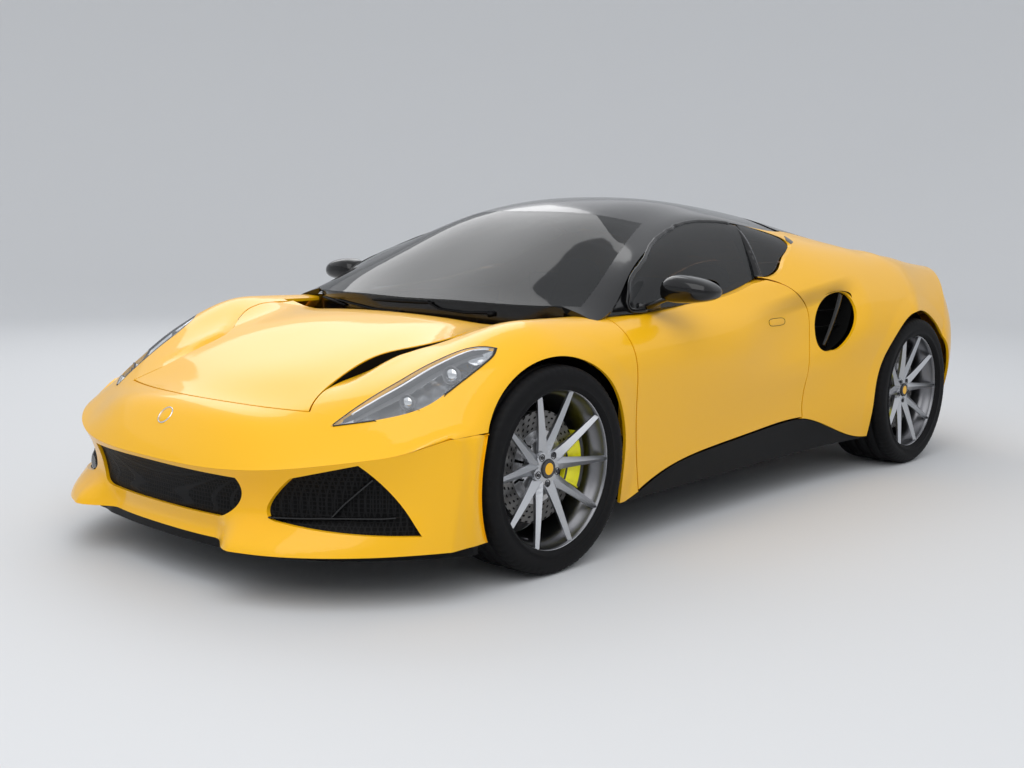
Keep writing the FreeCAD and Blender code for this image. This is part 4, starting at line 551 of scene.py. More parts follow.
# Finishes of the CAD nodes by their material slot in the record, and of the nodes that differ from their slot.
FINISHES = {
    "body_paint": PAINT, "gloss_black": BLACK, "chassis_black": UNDERBODY, "mesh_black": PLASTIC,
    "seat_trim": LEATHER, "glass": GLASS, "lamp": LENS, "lamp_red": RED, "exhaust_metal": STEEL,
    "tyre": RUBBER, "rim_silver": SILVER, "disc_iron": DISCS["front"], "carrier_iron": CARRIER,
}
NODE_FINISHES = {
    "rear_lid": BLACK, "cowl": BLACK, "diffuser": BLACK, "side_skirts": PLASTIC, "front_splitter": PLASTIC,
    "front_grilles": MESH, "disc_rear_left": DISCS["rear"], "disc_rear_right": DISCS["rear"],
}


def dress_nodes():
    """Each CAD node takes the finish of its material slot in the record."""
    slots = {part["node"]: part["material_slot"] for part in frame["record"]["subparts"]}
    for name, node in nodes.items():
        node.data.materials.clear()
        node.data.materials.append(NODE_FINISHES.get(name, FINISHES[slots[name]]))


# The stage: a round floor, the bend up into its wall, the wall's top and the lamps (name, place, size, watts).
STAGE_RADIUS = 9.0
STAGE_BEND = 4.0
STAGE_TOP = 4.6
STAGE_SIDES = 96
SKY_COLOUR = (0.94, 0.96, 1.0, 1.0)
SKY_STRENGTH = 0.8
LAMP_TARGET = Vector((0, 0, 0.4))
STAGE_LAMPS = (("key", (3.0, -4.5, 6.5), 8.0, 300.0), ("fill", (-5.0, 2.5, 5.5), 5.0, 120.0))


def stage_floor():
    """A pale floor curving up into a pale wall: a disc, a quarter circle and a cylinder, turned about Z."""
    finish = Finish("stage_floor").surface(Base_Color=(0.66, 0.67, 0.68), Roughness=0.7)
    turn = np.linspace(0.0, math.pi / 2, 16)
    bend = np.stack([STAGE_RADIUS + STAGE_BEND * np.sin(turn), STAGE_BEND * (1 - np.cos(turn))], 1)
    profile = np.concatenate([[[0.0, 0.0]], bend, [[STAGE_RADIUS + STAGE_BEND, STAGE_TOP]]])
    points, faces, smooth = turned(profile[:, ::-1], STAGE_SIDES)[0]
    upright = [(points[:, (1, 2, 0)], faces, smooth)]
    linked("stage_floor", mesh_of("stage_floor", upright, finish))


def stage_light():
    """A soft pale sky and two large soft lamps."""
    world = bpy.data.worlds.new("stage_world")
    bpy.context.scene.world = world
    world.use_nodes = True
    sky = world.node_tree.nodes["Background"].inputs
    sky["Color"].default_value = SKY_COLOUR
    sky["Strength"].default_value = SKY_STRENGTH
    for name, place, size, watts in STAGE_LAMPS:
        lamp = bpy.data.lights.new(name, "AREA")
        lamp.size = size
        lamp.energy = watts
        stand = linked(name, lamp)
        stand.location = place
        stand.rotation_euler = (LAMP_TARGET - Vector(place)).to_track_quat("-Z", "Y").to_euler()


def camera():
    """The camera that took the photograph."""
    right, up, back = camera_axes()
    lens = bpy.data.cameras.new("camera")
    lens.lens = CAMERA_LENS
    lens.sensor_width = SENSOR_WIDTH
    eye = linked("camera", lens)
    eye.matrix_world = Matrix.Translation(CAMERA_PLACE) @ Matrix((right, up, back)).transposed().to_4x4()
    bpy.context.scene.camera = eye


def placed(profile, x=0.0, radius=0.0):
    """A profile of (x, radius) steps moved to a place."""
    return np.array(profile, float) + (x, radius)


# Wheels: depths go outwards from the wheel's middle, radii from its axle, and steps are (depth, radius).
RIM_SEAT_SHARE = 0.42
RIM_GAP = 0.0004
HUB_SINK = 0.042
FLANGE_RADIUS = 0.271
FLANGE_STEPS = ((-0.001, -0.012), (0.0035, -0.006), (0.0055, -0.001), (0.002, 0.0), (-0.008, -0.010))
HUB_STEPS = ((-0.024, 0.0), (-0.024, 0.060), (-0.002, 0.060), (0.003, 0.052), (0.004, 0.0325), (0.001, 0.0295),
             (0.001, 0.0))
BARREL_INNER_STEPS = ((0.0, 0.260), (0.0, 0.251), (0.03, 0.234))
BARREL_OUTER_STEPS = ((-0.07, 0.240), (-0.045, 0.245), (-0.043, 0.249), (-0.012, 0.256), (-0.006, 0.257),
                      (0.0035, 0.265))
BARREL_START = (-0.008, 0.260)
SPOKE_RADII = (0.046, 0.2585)
SPOKE_LEANS = (math.radians(8.0), math.radians(17.6))
SPOKE_HALF_WIDTHS = (0.0195, 0.0100)
SPOKE_DEPTHS = (0.030, 0.017)
SPOKE_CROWN = 0.004
SPOKE_TIP_SINK = 0.003
SPOKE_RISE_POWER = 0.85
SPOKE_ROOT_FLARE = 0.35
SPOKE_SECTION = ((-1.0, -1.0), (-1.0, -0.55), (-0.1, 0.0), (1.0, -0.6), (1.0, -1.0))
SPOKE_STATIONS = 14
PAIR_COUNT = 5
LUG_CIRCLE = 0.0485
LUG_SEAT_STEPS = ((0.0042, 0.0125), (0.0048, 0.0125), (0.0048, 0.0105), (0.0005, 0.0095), (0.0005, 0.0))
LUG_BOLT_STEPS = ((0.0, 0.0065), (0.006, 0.0065), (0.0068, 0.0055), (0.0068, 0.0))
CAP_STEPS = ((0.001, 0.0285), (0.007, 0.0285), (0.009, 0.0265), (0.0105, 0.0171), (0.011, 0.0))
VALVE_STEPS = ((0.0, 0.0), (0.0, 0.0035), (0.030, 0.0035), (0.031, 0.0025), (0.040, 0.0025), (0.040, 0.0))
VALVE_RADIUS = 0.242
VALVE_TURN = math.radians(213.0)
VALVE_DEPTH = 0.045

# A tyre's wall in shares of its half width and of its height over the bead, and its grooves and shoulder cuts.
BEAD_RADIUS = 0.259
WALL_SHARES = ((0.86, 0.0), (0.93, 0.10), (0.985, 0.17), (0.985, 0.22), (0.965, 0.25), (0.985, 0.42),
               (0.995, 0.55), (0.985, 0.70), (0.955, 0.83), (0.90, 0.925), (0.82, 0.965), (0.74, 0.985))
GROOVE_SHARES = (0.58, 0.2, -0.2, -0.58)
GROOVE_STEPS = ((0.0045, 0.0), (0.0036, -0.0065), (-0.0036, -0.0065), (-0.0045, 0.0))
TREAD_BLOCKS = 72
BLOCK_STEPS = 5
SHOULDER_SHARES = (0.66, 0.8)
SHOULDER_CUT = 0.0022


def tyre_form(width, radius):
    """A tyre: bulging sidewalls, a rim guard, four grooves round the tread and cuts across its shoulders."""
    wall, half = radius - BEAD_RADIUS, width / 2
    side = [(across * half, BEAD_RADIUS + rise * wall) for across, rise in WALL_SHARES]
    tread = np.concatenate([placed(GROOVE_STEPS, share * half, radius) for share in GROOVE_SHARES])
    profile = np.concatenate([side, tread, [(-x, r) for x, r in reversed(side)]])
    segments = TREAD_BLOCKS * BLOCK_STEPS
    angles = np.linspace(0.0, 2 * math.pi, segments, endpoint=False)[:, None]
    out, up = SHOULDER_SHARES
    on_shoulder = (profile[:, 1] > BEAD_RADIUS + up * wall) & (np.abs(profile[:, 0]) > out * half)
    cut = (np.arange(segments) % BLOCK_STEPS == 0)[:, None] * on_shoulder[None] * SHOULDER_CUT
    radii = profile[:, 1] - cut
    return grid(places_at(profile[:, 0], radii * np.sin(angles), radii * np.cos(angles)), wrap_rows=True)


def round_place(radius, turn):
    """A place at a radius and a turn round the axle."""
    return np.array([0.0, radius * math.sin(turn), radius * math.cos(turn)])


def spoke_form(half, pair, lean):
    """One spoke from the hub to the flange: a straight tapered bar with an off-centre ridge."""
    middle = pair * 2 * math.pi / PAIR_COUNT
    start, end = (round_place(radius, middle + lean * turn) for radius, turn in zip(SPOKE_RADII, SPOKE_LEANS))
    share = np.linspace(0.0, 1.0, SPOKE_STATIONS)[:, None]
    run = end - start
    path = start + run * share
    hub_x = half - HUB_SINK
    path[:, 0] = hub_x + SPOKE_CROWN + (half - SPOKE_TIP_SINK - hub_x) * (share[:, 0] ** SPOKE_RISE_POWER)
    section = (np.array(SPOKE_SECTION) * (lean, 1.0))[::lean]
    across = np.array([0.0, run[2], -run[1]]) / np.linalg.norm(run)
    root, tip = SPOKE_HALF_WIDTHS
    widths = root * (1 - share * (1 - tip / root) + SPOKE_ROOT_FLARE * (1 - share) ** 6)
    depths = SPOKE_DEPTHS[0] + (SPOKE_DEPTHS[1] - SPOKE_DEPTHS[0]) * share
    points = path[:, None] + across * (section[:, 0] * widths)[..., None]
    points[..., 0] += section[:, 1] * depths
    return grid(closed_ends(points), wrap_columns=True, smooth=False)


def rim_form(half):
    """A rim: a polished flange, a stepped hub and ten spokes in five pairs."""
    form = turned(placed(FLANGE_STEPS, half, FLANGE_RADIUS), 144)
    form += turned(placed(HUB_STEPS, half - HUB_SINK), 72, smooth=False)
    for pair in range(PAIR_COUNT):
        form += spoke_form(half, pair, -1) + spoke_form(half, pair, 1)
    return form


def barrel_form(half):
    """The rim's darker barrel behind the spokes: a stepped profile turned about the axle."""
    start, inner = placed([BARREL_START], half), placed(BARREL_INNER_STEPS, -half)
    return turned(np.concatenate([start, inner, placed(BARREL_OUTER_STEPS, half)]), 144)


def lug_form(half):
    """Five lug bolts in dark seats, between the pairs of spokes."""
    form = []
    for k in range(PAIR_COUNT):
        turn = (k + 0.5) * 2 * math.pi / PAIR_COUNT
        for steps, sides in ((LUG_SEAT_STEPS, 24), (LUG_BOLT_STEPS, 6)):
            made = turned(placed(steps, half - HUB_SINK), sides, smooth=False)
            form += moved(made, round_place(LUG_CIRCLE, turn))
    return form


def valve_form(half):
    """The valve's stem, standing off the barrel beside a spoke."""
    return moved(turned(placed(VALVE_STEPS, half - VALVE_DEPTH), 12), round_place(VALVE_RADIUS, VALVE_TURN))


# A brake caliper: its radii, the disc's edge, how far its face and back stand off the hub's back, and its ribs.
CALIPER_RADII = (0.112, 0.2085)
CALIPER_GAP_RADIUS = 0.192
CALIPER_BACK = 0.0244
CALIPER_FACE_DEPTH = 0.009
CALIPER_INNER_DEPTH = 0.051
CALIPER_HALF_TURN = math.radians(28.0)
CALIPER_RIBS = (-2, -1, 1, 2)
RIB_SPACING_SHARE = 0.42
RIB_HALF_TURN = 0.012


def caliper_form(half, ahead):
    """A caliper's bridge over the disc: a rounded block bent round the axle, with ribs on its outer face."""
    back = half - HUB_SINK - CALIPER_BACK
    face, inner = back - CALIPER_FACE_DEPTH, back - CALIPER_INNER_DEPTH
    low, high = CALIPER_RADII
    section = [(face, low), (face + 0.014, low + 0.004), (face + 0.0195, low + 0.016),
               (face + 0.0195, high - 0.022), (face + 0.014, high - 0.004), (face + 0.004, high),
               (inner - 0.014, high), (inner - 0.0195, high - 0.01), (inner - 0.0195, low + 0.004),
               (inner, low), (inner, CALIPER_GAP_RADIUS), (face, CALIPER_GAP_RADIUS), (face, low)]
    middle = math.radians(90.0 * ahead)
    start, end = middle - CALIPER_HALF_TURN, middle + CALIPER_HALF_TURN
    form = turned(section, 32, start=start, end=end, smooth=False)
    for points in (form[0][0][:len(section)], form[0][0][-len(section):]):
        form += grid(np.stack([points, np.broadcast_to(points.mean(0), points.shape)]), smooth=False)
    rib = [(face + 0.0195, low + 0.02), (face + 0.0215, low + 0.022), (face + 0.0215, high - 0.026),
           (face + 0.0195, high - 0.024)]
    for k in CALIPER_RIBS:
        angle = middle + k * CALIPER_HALF_TURN * RIB_SPACING_SHARE
        form += turned(rib, 3, smooth=False, start=angle - RIB_HALF_TURN, end=angle + RIB_HALF_TURN)
    return form


def wheels():
    """Each wheel's pieces, made for the left side and mirrored for the right."""
    for end in ENDS:
        low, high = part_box("tyre_" + end + "_left")
        centre = (Vector(low) + Vector(high)) / 2
        width, radius = high[0] - low[0], (high[2] - low[2]) / 2
        half = RIM_SEAT_SHARE * width - RIM_GAP
        cap = turned(placed(CAP_STEPS, half - HUB_SINK), 48)
        for side, sign in SIDES:
            name, shift = end + "_" + side, (sign * centre.x, centre.y, centre.z)
            wheel = "wheel_" + name
            carrier = "knuckle_" + side if end == "front" else "body"

            def fitted(form):
                return moved(form, shift, sign)

            tyre, rim = ["tyre_" + name], ["rim_" + name]
            piece("tyre_tread_" + name, fitted(tyre_form(width, radius)), RUBBER, wheel, tyre)
            piece("rim_spokes_" + name, fitted(rim_form(half)), SILVER, wheel, rim)
            piece("rim_barrel_" + name, fitted(barrel_form(half)), BARREL, wheel)
            piece("lug_bolts_" + name, fitted(lug_form(half)), DARK_STEEL, wheel)
            piece("hub_cap_" + name, fitted(cap), PAINT, wheel)
            piece("valve_" + name, fitted(valve_form(half)), DARK_STEEL, wheel)
            caliper = caliper_form(half, 1 if end == "front" else -1)
            piece("caliper_" + name, fitted(caliper), CALIPER, carrier)


# Outlines that the pieces share with the panels, in shares: q along the car, in front overhangs up to the front
# axle and in wheelbases from there, w of the body's half width and h of its height.
FRONT_AXLE_Y = -1.281
OVERHANG = 0.925
WHEELBASE = 2.575
HALF_WIDTH = 0.9475
FULL_HEIGHT = 1.226
HOOD_EDGE_SHARES = ((0.35, 0.475), (0.49, 0.447), (0.65, 0.45), (0.77, 0.54), (0.88, 0.625), (1.0586, 0.665))
LAMP_LOW_SHARES = ((0.631, 0.277), (0.757, 0.381), (0.835, 0.49), (0.868, 0.63), (0.876, 0.75), (0.86, 0.798))
LAMP_HIGH_SHARES = ((0.631, 0.277), (0.67, 0.423), (0.697, 0.514), (0.727, 0.623), (0.78, 0.73), (0.86, 0.798))
INTAKE_SHARES = ((1.665, 0.555), (1.67, 0.62), (1.705, 0.668), (1.75, 0.677), (1.772, 0.65), (1.76, 0.54),
                 (1.713, 0.48), (1.68, 0.49))


def station(q):
    """A place along Y from its share: overhangs up to the front axle, then wheelbases."""
    return FRONT_AXLE_Y + (q - 1) * (OVERHANG if q < 1 else WHEELBASE)


def both(name, form, material, body="body"):
    """A piece for the left side and its mirror image for the right side; SIDE in a body's name is the side."""
    for side, made in (("left", form), ("right", mirrored(form))):
        piece(name + "_" + side, made, material, body.replace("SIDE", side))


def aimed(form, place, direction):
    """A form made along X, turned to a direction and moved to a place."""
    turn = np.array(Vector(direction).normalized().to_track_quat("X", "Z").to_matrix())
    return [(points @ turn.T + np.array(place, float), faces, smooth) for points, faces, smooth in form]


def crowned_plate(ring, shares, crown):
    """A plate of smaller and smaller rings, raised by a crown times 1 - share to the sixth power."""
    centre = ring.mean(0)
    return grid(np.stack([centre + (ring - centre) * s + np.array(crown) * (1 - s ** 6) for s in shares]),
                wrap_columns=True)


# Headlamps: the lens's grid, the bowl's depth and ribs, and the parts that sit between them, by row and column.
LAMP_ROWS = 15
LAMP_COLUMNS = 60
LAMP_INWARD = (-0.35, 0.45, -0.82)
LENS_SINK = 0.0004
BOWL_DEPTH = 0.055
BOWL_EDGE = 0.0012
BOWL_RIBS = 14
BOWL_RIB_DEPTH = 0.004
LAMP_SHELF = ((11, 0.006), (11, 0.03), (9, 0.034))
LAMP_STRIP_ROW = 12
LAMP_STRIP_SINK = 0.009
PROJECTOR_ROW = 6
PROJECTORS = ((21, 0.021), (36, 0.025))
PROJECTOR_SINK = 0.012
PROJECTOR_AIM = (0.25, -1.0, 0.12)
BEZEL_SHARES = ((-1.0, 0.9), (0.0, 1.18), (0.0, 1.14), (0.0, 1.0), (-0.6, 0.9))
BEZEL_LIP = 0.004


def lamp_surface():
    """The lens: lines between the lamp's edges seen from above, dropped on the skin; misses are bridged."""
    skin = Skin("headlamps", "nose_panel", "front_fender_left")
    edges = ([(w * HALF_WIDTH, station(q)) for w, q in edge] for edge in (LAMP_LOW_SHARES, LAMP_HIGH_SHARES))
    low, high = (rounded(edge, LAMP_COLUMNS) for edge in edges)
    share = np.linspace(0.0, 1.0, LAMP_ROWS)[:, None, None]
    flat = low + (high - low) * share
    places = skin.met(places_at(flat[..., 0], flat[..., 1], OUTSIDE), DOWN)
    for row in places:
        known = ~np.isnan(row[:, 2])
        row[:, 2] = np.interp(np.arange(LAMP_COLUMNS), np.flatnonzero(known), row[known, 2])
    places[..., :2] = flat
    return places


def headlamps():
    """Each lamp: a clear lens over a ribbed silver bowl, a light strip, two projectors and black edges."""
    lens = lamp_surface()
    inward = np.array(LAMP_INWARD) / np.linalg.norm(LAMP_INWARD)
    share = np.linspace(0.0, 1.0, LAMP_ROWS)[:, None]
    along = np.linspace(0.0, 1.0, LAMP_COLUMNS)
    bowl = (4 * share * (1 - share)) ** 0.5 * np.clip(6 * along, 0, 1) * np.clip(5 * (1 - along), 0, 1)
    ribs = 0.5 + 0.5 * np.cos(along * 2 * math.pi * BOWL_RIBS)
    depth = BOWL_EDGE + (BOWL_DEPTH + BOWL_RIB_DEPTH * ribs) * bowl
    cover = grid(lens + inward * LENS_SINK)
    piece("headlamp_lens", cover + mirrored(cover), LENS, "body", ["headlamps"])
    both("lamp_bowl", grid(lens + inward * depth[..., None]), REFLECTOR)
    both("lamp_edge_low", swept(lens[0][1:] + inward * 0.001, oval(0.0055, 0.0022)), BLACK)
    both("lamp_edge_high", swept(lens[-1][1:] + inward * 0.001, oval(0.0022, 0.0016)), BLACK)
    strip = lens[LAMP_STRIP_ROW][6:-4] + inward * LAMP_STRIP_SINK
    both("lamp_strip", swept(strip, oval(0.0045, 0.0028)), LIGHT_GUIDE)
    shelf = np.stack([lens[row][4:-3] + inward * drop for row, drop in LAMP_SHELF])
    both("lamp_shelf", grid(shelf, smooth=False), LAMP_GREY)
    bezels, domes = [], []
    for column, size in PROJECTORS:
        centre = lens[PROJECTOR_ROW][column] + inward * (PROJECTOR_SINK + size * 0.75)
        tube = [(x * size, radius * size) for x, radius in BEZEL_SHARES]
        tube[2] = (BEZEL_LIP, tube[2][1])
        angles = np.linspace(0, math.pi / 2, 12)
        dome = [(size * (0.45 * math.cos(a) - 0.25), size * 0.92 * math.sin(a)) for a in angles]
        bezels += aimed(turned(tube, 48), centre, PROJECTOR_AIM)
        domes += aimed(turned(dome, 48), centre, PROJECTOR_AIM)
    both("lamp_bezels", bezels, LAMP_GREY)
    both("lamp_projectors", domes, MIRROR_GLASS)


# The pillar between the side windows: (y, z) places down its front and rear edge, the shares across it at which
# its cover is searched for, and the cover's section as (share across, lift).
PILLAR_FRONT = ((0.2705, 1.138), (0.2655, 1.128), (0.224, 1.045), (0.1825, 0.97), (0.139, 0.889))
PILLAR_REAR = ((0.298, 1.128), (0.290, 1.114), (0.250, 1.035), (0.211, 0.965), (0.172, 0.889))
PILLAR_SEARCH = np.linspace(-0.4, 1.4, 46)
PILLAR_SECTION = ((0.0, -0.06), (0.0, 0.0003), (0.04, 0.0014), (0.5, 0.0024), (0.96, 0.0014), (1.0, 0.0003))
PILLAR_REVEAL = np.array([0.0, -0.0013, 0.0007])
NEAR_SIDE_X = 0.5


def pillar_covers():
    """The gloss black cover over each pillar: rows across the skin from edge to edge, lifted off it."""
    skin = Skin("rear_body")
    front, rear = (rounded(edge, 40) for edge in (PILLAR_FRONT, PILLAR_REAR))
    across = front[:, None] + (rear - front)[:, None] * PILLAR_SEARCH[:, None]
    places = skin.met(places_at(OUTSIDE, across[..., 0], across[..., 1]), INWARDS)
    rows = []
    for row in places:
        row = row[row[:, 0] > NEAR_SIDE_X]
        if len(row) > 3:
            start, end = row[0] + PILLAR_REVEAL, row[-1]
            rows.append([start + (end - start) * share + (lift, 0, 0) for share, lift in PILLAR_SECTION])
    both("pillar_cover", grid(np.array(rows)), BLACK)


# A side intake: how much wider its duct is than the hole, the duct's rings as (depth, size), the x of its rim
# at the front and the rear, its fin's path, and its ribs' heights, span of y and x for given y.
DUCT_SPREAD = 1.05
DUCT_RINGS = ((0.016, 1.0), (0.06, 0.96), (0.11, 0.88), (0.11, 0.0))
DUCT_RIM_X = (0.862, 0.905)
FIN_PATH = ((0.866, 0.655, 0.822), (0.868, 0.625, 0.76), (0.864, 0.585, 0.68), (0.855, 0.545, 0.60))
INTAKE_RIB_HEIGHTS = (0.685, 0.755)
INTAKE_RIB_Y = (0.45, 0.70)
INTAKE_RIB_RUN = ((0.43, 0.71), (0.800, 0.835))


def side_intakes():
    """Each intake's duct behind the skin, rings shrinking inwards in near-black painted shade darker than the
    plastic, with a slim fin and two cross ribs.
    """
    outline = rounded([(0.0, station(q), h * FULL_HEIGHT) for q, h in INTAKE_SHARES], 64, closed=True)
    middle = outline.mean(0)
    wide = middle + (outline - middle) * DUCT_SPREAD
    rim_x = np.interp(wide[:, 1], (wide[:, 1].min(), wide[:, 1].max()), DUCT_RIM_X)
    rows = []
    for depth, size in DUCT_RINGS:
        ring = middle + (wide - middle) * size
        ring[:, 0] = rim_x - depth
        rows.append(ring)
    # the duct's near-black is painted shade in the intake's depth, darker than the black plastic
    both("intake_duct", grid(np.stack(rows), wrap_columns=True), SHADOW)
    both("intake_fin", swept(rounded(FIN_PATH, 20), oval(0.0035, 0.020, 12), up=(0, 1, 0)), BLACK)
    ribs = []
    for z in INTAKE_RIB_HEIGHTS:
        y = np.linspace(*INTAKE_RIB_Y, 12)
        ribs += swept(places_at(np.interp(y, *INTAKE_RIB_RUN), y, z), bar_section(0.03, 0.004))
    both("intake_ribs", ribs, PLASTIC)


# A door handle: its place in the photograph (left, right, top, bottom), half sizes and its curve's powers.
HANDLE_PIXELS = (769, 785, 317, 327)
HANDLE_HALVES = (0.066, 0.0145)
HANDLE_POWERS = (0.5, 0.7)


def door_handles():
    """The outline of each flush handle, a superellipse on the door's skin, and its shallow pull."""
    left, right, top, bottom = HANDLE_PIXELS
    middle = PANELS.hit(CAMERA_PLACE, sight(((left + right) / 2, (top + bottom) / 2)))
    y, z = superellipse(48, HANDLE_HALVES, HANDLE_POWERS)
    ring = PANELS.dropped(places_at(OUTSIDE, middle.y + y, middle.z + z), INWARDS, 0.0002)
    both("handle_edge", swept(ring, oval(0.0011), up=(1, 0, 0), closed=True), SHADOW, "door_SIDE")
    plate = crowned_plate(ring, (0.96, 0.9, 0.7, 0.4, 0.0), (0.0018, 0, 0))
    both("handle_plate", plate, PAINT, "door_SIDE")


# The curtain on the hood's side wall: how far inside the edge and below the skin it starts, how far out it
# stands, and how far down its rows are.
VENT_INSET = 0.004
VENT_SINK = 0.0035
VENT_STAND = 0.0055
VENT_DROPS = (0.0, 0.03, 0.075)


def hood_vents():
    """The near-black curtain on each side wall of the hood, painted shade in the gap under the hood's edge: its
    edge from above, moved outwards, then down.
    """
    edge = rounded([(w * HALF_WIDTH, station(q)) for q, w in HOOD_EDGE_SHARES], 80)
    run = np.gradient(edge, axis=0)
    out = places_at(run[:, 1], -run[:, 0], 0.0) / np.linalg.norm(run, axis=1)[:, None]
    start = places_at(edge[:, 0], edge[:, 1], OUTSIDE) - out * VENT_INSET
    top = Skin("hood").met(start, DOWN, -VENT_SINK)
    known = ~np.isnan(top[:, 0])
    rows = np.stack([top[known] + out[known] * VENT_STAND - (0, 0, drop) for drop in VENT_DROPS])
    # a sheet of painted shade, where the gap under the hood's edge lies in shade
    both("hood_vent", grid(rows), SHADOW, "hood")


# Seats, each from pads: a name, the middle, half sizes, roundness and tilt in degrees.
SEAT_X = 0.36
SEAT_PARTS = (
    ("cushion", (0, 0.0, 0.335), (0.165, 0.25, 0.05), 3.0, -3),
    ("cushion_bolster_in", (-0.195, -0.02, 0.355), (0.05, 0.26, 0.07), 2.6, -3),
    ("cushion_bolster_out", (0.195, -0.02, 0.355), (0.05, 0.26, 0.07), 2.6, -3),
    ("back", (0, 0.315, 0.62), (0.15, 0.05, 0.27), 3.0, -14),
    ("back_bolster_in", (-0.18, 0.305, 0.62), (0.055, 0.075, 0.24), 2.6, -14),
    ("back_bolster_out", (0.18, 0.305, 0.62), (0.055, 0.075, 0.24), 2.6, -14),
    ("headrest", (0, 0.365, 0.865), (0.115, 0.045, 0.075), 2.8, -14),
)


def seats():
    """Both seats: each cushion, backrest, bolster and head restraint a crowned pad of its own."""
    for name, centre, halves, power, tilt in SEAT_PARTS:
        for side, sign in SIDES:
            form = pad((sign * (SEAT_X + centre[0]), *centre[1:]), halves, power, math.radians(tilt))
            stands_for = ["seats"] if (name, side) == ("cushion", "left") else ()
            made = piece("seat_" + name + "_" + side, form, LEATHER, "body", stands_for)


# A side window's sail, from the pillar's edge to the glass's edge, and the trim round its glass: at each angle
# about a middle the first radius from outside at which a ray meets the glass.
SAIL_PILLAR = ((0.784, -0.880, 0.806), (0.783, -0.865, 0.82), (0.772, -0.835, 0.84), (0.757, -0.80, 0.86),
               (0.744, -0.765, 0.88), (0.740, -0.735, 0.90))
SAIL_GLASS = ((0.784, -0.720, 0.806), (0.782, -0.720, 0.82), (0.772, -0.715, 0.84), (0.763, -0.70, 0.86),
              (0.757, -0.695, 0.88), (0.748, -0.69, 0.90))
WINDOW_MIDDLE = np.array([-0.20, 0.93])
WINDOW_ANGLES = np.radians(np.linspace(194.0, 24.0, 90))
WINDOW_RADII = np.arange(0.60, 0.02, -0.003)
WINDOW_INNER_X = 0.45
TRIM_OFFSET = 0.003


def window_trims():
    """The black sail in each side window's front corner, and the trim round the glass's front and top edge."""
    front, rear = (rounded(edge, 20) for edge in (SAIL_PILLAR, SAIL_GLASS))
    sail = np.stack([front + (rear - front) * share for share in np.linspace(0, 1, 9)])
    both("window_sail", grid(sail), BLACK, "door_SIDE")
    skin = Skin("door_glass_left")
    edge = []
    for angle in WINDOW_ANGLES:
        ray = np.array([math.cos(angle), math.sin(angle)])
        for radius in WINDOW_RADII:
            hit = skin.hit((OUTSIDE, *(WINDOW_MIDDLE + ray * radius)), INWARDS)
            if hit is not None and hit.x > WINDOW_INNER_X:
                edge.append(np.array(hit) + (0.0, *(ray * TRIM_OFFSET)))
                break
    path = rounded(spaced(edge, 0.03), 90)
    both("window_trim", swept(path, oval(0.009, 0.004, 12), up=(1, 0, 0.4)), BLACK, "door_SIDE")


# A door mirror: its shell's sections from the inner end to the outer one, its glass, and its arm and foot.
MIRROR_STATIONS = (
    # x, bottom z, top z, front y, rear y
    (0.834, 0.872, 0.880, -0.605, -0.590),
    (0.837, 0.858, 0.905, -0.632, -0.562),
    (0.850, 0.849, 0.930, -0.652, -0.540),
    (0.885, 0.845, 0.944, -0.664, -0.531),
    (0.930, 0.846, 0.943, -0.666, -0.530),
    (0.980, 0.850, 0.934, -0.660, -0.530),
    (1.015, 0.857, 0.921, -0.645, -0.532),
    (1.035, 0.868, 0.906, -0.622, -0.540),
    (1.043, 0.882, 0.893, -0.595, -0.562),
)
MIRROR_POWERS = (0.72, 0.85)
MIRROR_GLASS_MIDDLE = (0.938, 0.894)
MIRROR_GLASS_HALVES = (0.082, 0.036)
MIRROR_GLASS_RINGS = ((1.0, -0.532), (0.97, -0.5294), (0.0, -0.5292))
MIRROR_GLASS_POWERS = (0.6, 0.7)
MIRROR_ARM = ((0.775, -0.632, 0.822), (0.803, -0.632, 0.834), (0.840, -0.620, 0.853), (0.885, -0.604, 0.866))
MIRROR_FOOT = ((0.782, -0.690, 0.826), (0.783, -0.632, 0.822), (0.784, -0.57, 0.828))


def mirror_shell():
    """The shell: a superellipse in y and z for each x, its height and depth following the stations."""
    x, low, high, front, rear = (column[:, None] for column in rounded(MIRROR_STATIONS, 48).T)
    y, z = superellipse(48, ((rear - front) / 2, (high - low) / 2), MIRROR_POWERS)
    return grid(closed_ends(places_at(x, (front + rear) / 2 + y, (low + high) / 2 + z)), wrap_columns=True)


def mirrors():
    """Each door mirror: its black shell on a slim arm and foot, and its glass, rings shrinking to a middle."""
    arm = swept(rounded(MIRROR_ARM, 20), oval(0.034, 0.011, 16), scale=np.linspace(1.15, 0.85, 20))
    shell = mirror_shell() + arm + swept(MIRROR_FOOT, oval(0.012, 0.016, 16))
    across, rise = superellipse(48, MIRROR_GLASS_HALVES, MIRROR_GLASS_POWERS)
    x, z = MIRROR_GLASS_MIDDLE
    rings = np.stack([places_at(x + size * across, y, z + size * rise) for size, y in MIRROR_GLASS_RINGS])
    glass = grid(rings, wrap_columns=True)
    for side, sign in SIDES:
        fitted = moved(shell, (0, 0, 0), sign)
        piece("mirror_shell_" + side, fitted, BLACK, "door_" + side, ["mirror_" + side])
        piece("mirror_glass_" + side, moved(glass, (0, 0, 0), sign), MIRROR_GLASS, "door_" + side)


# The wipers' lines in the photograph, from each arm's pivot, and their pivot's (depth, radius) steps.
WIPER_ARM_PIXELS = (((492, 313), (466, 312.5), (441, 309), (427, 301)),
                    ((400, 312), (375, 309), (352, 303), (338, 299)))
WIPER_BLADE_PIXELS = (((374, 299.5), (400, 301), (433, 303)), ((316, 293), (328, 298), (347, 305)))
WIPER_STEP_PIXELS = 5.0
WIPER_PIVOT_STEPS = ((-0.010, 0.0), (-0.010, 0.014), (0.002, 0.014), (0.005, 0.009), (0.005, 0.0))


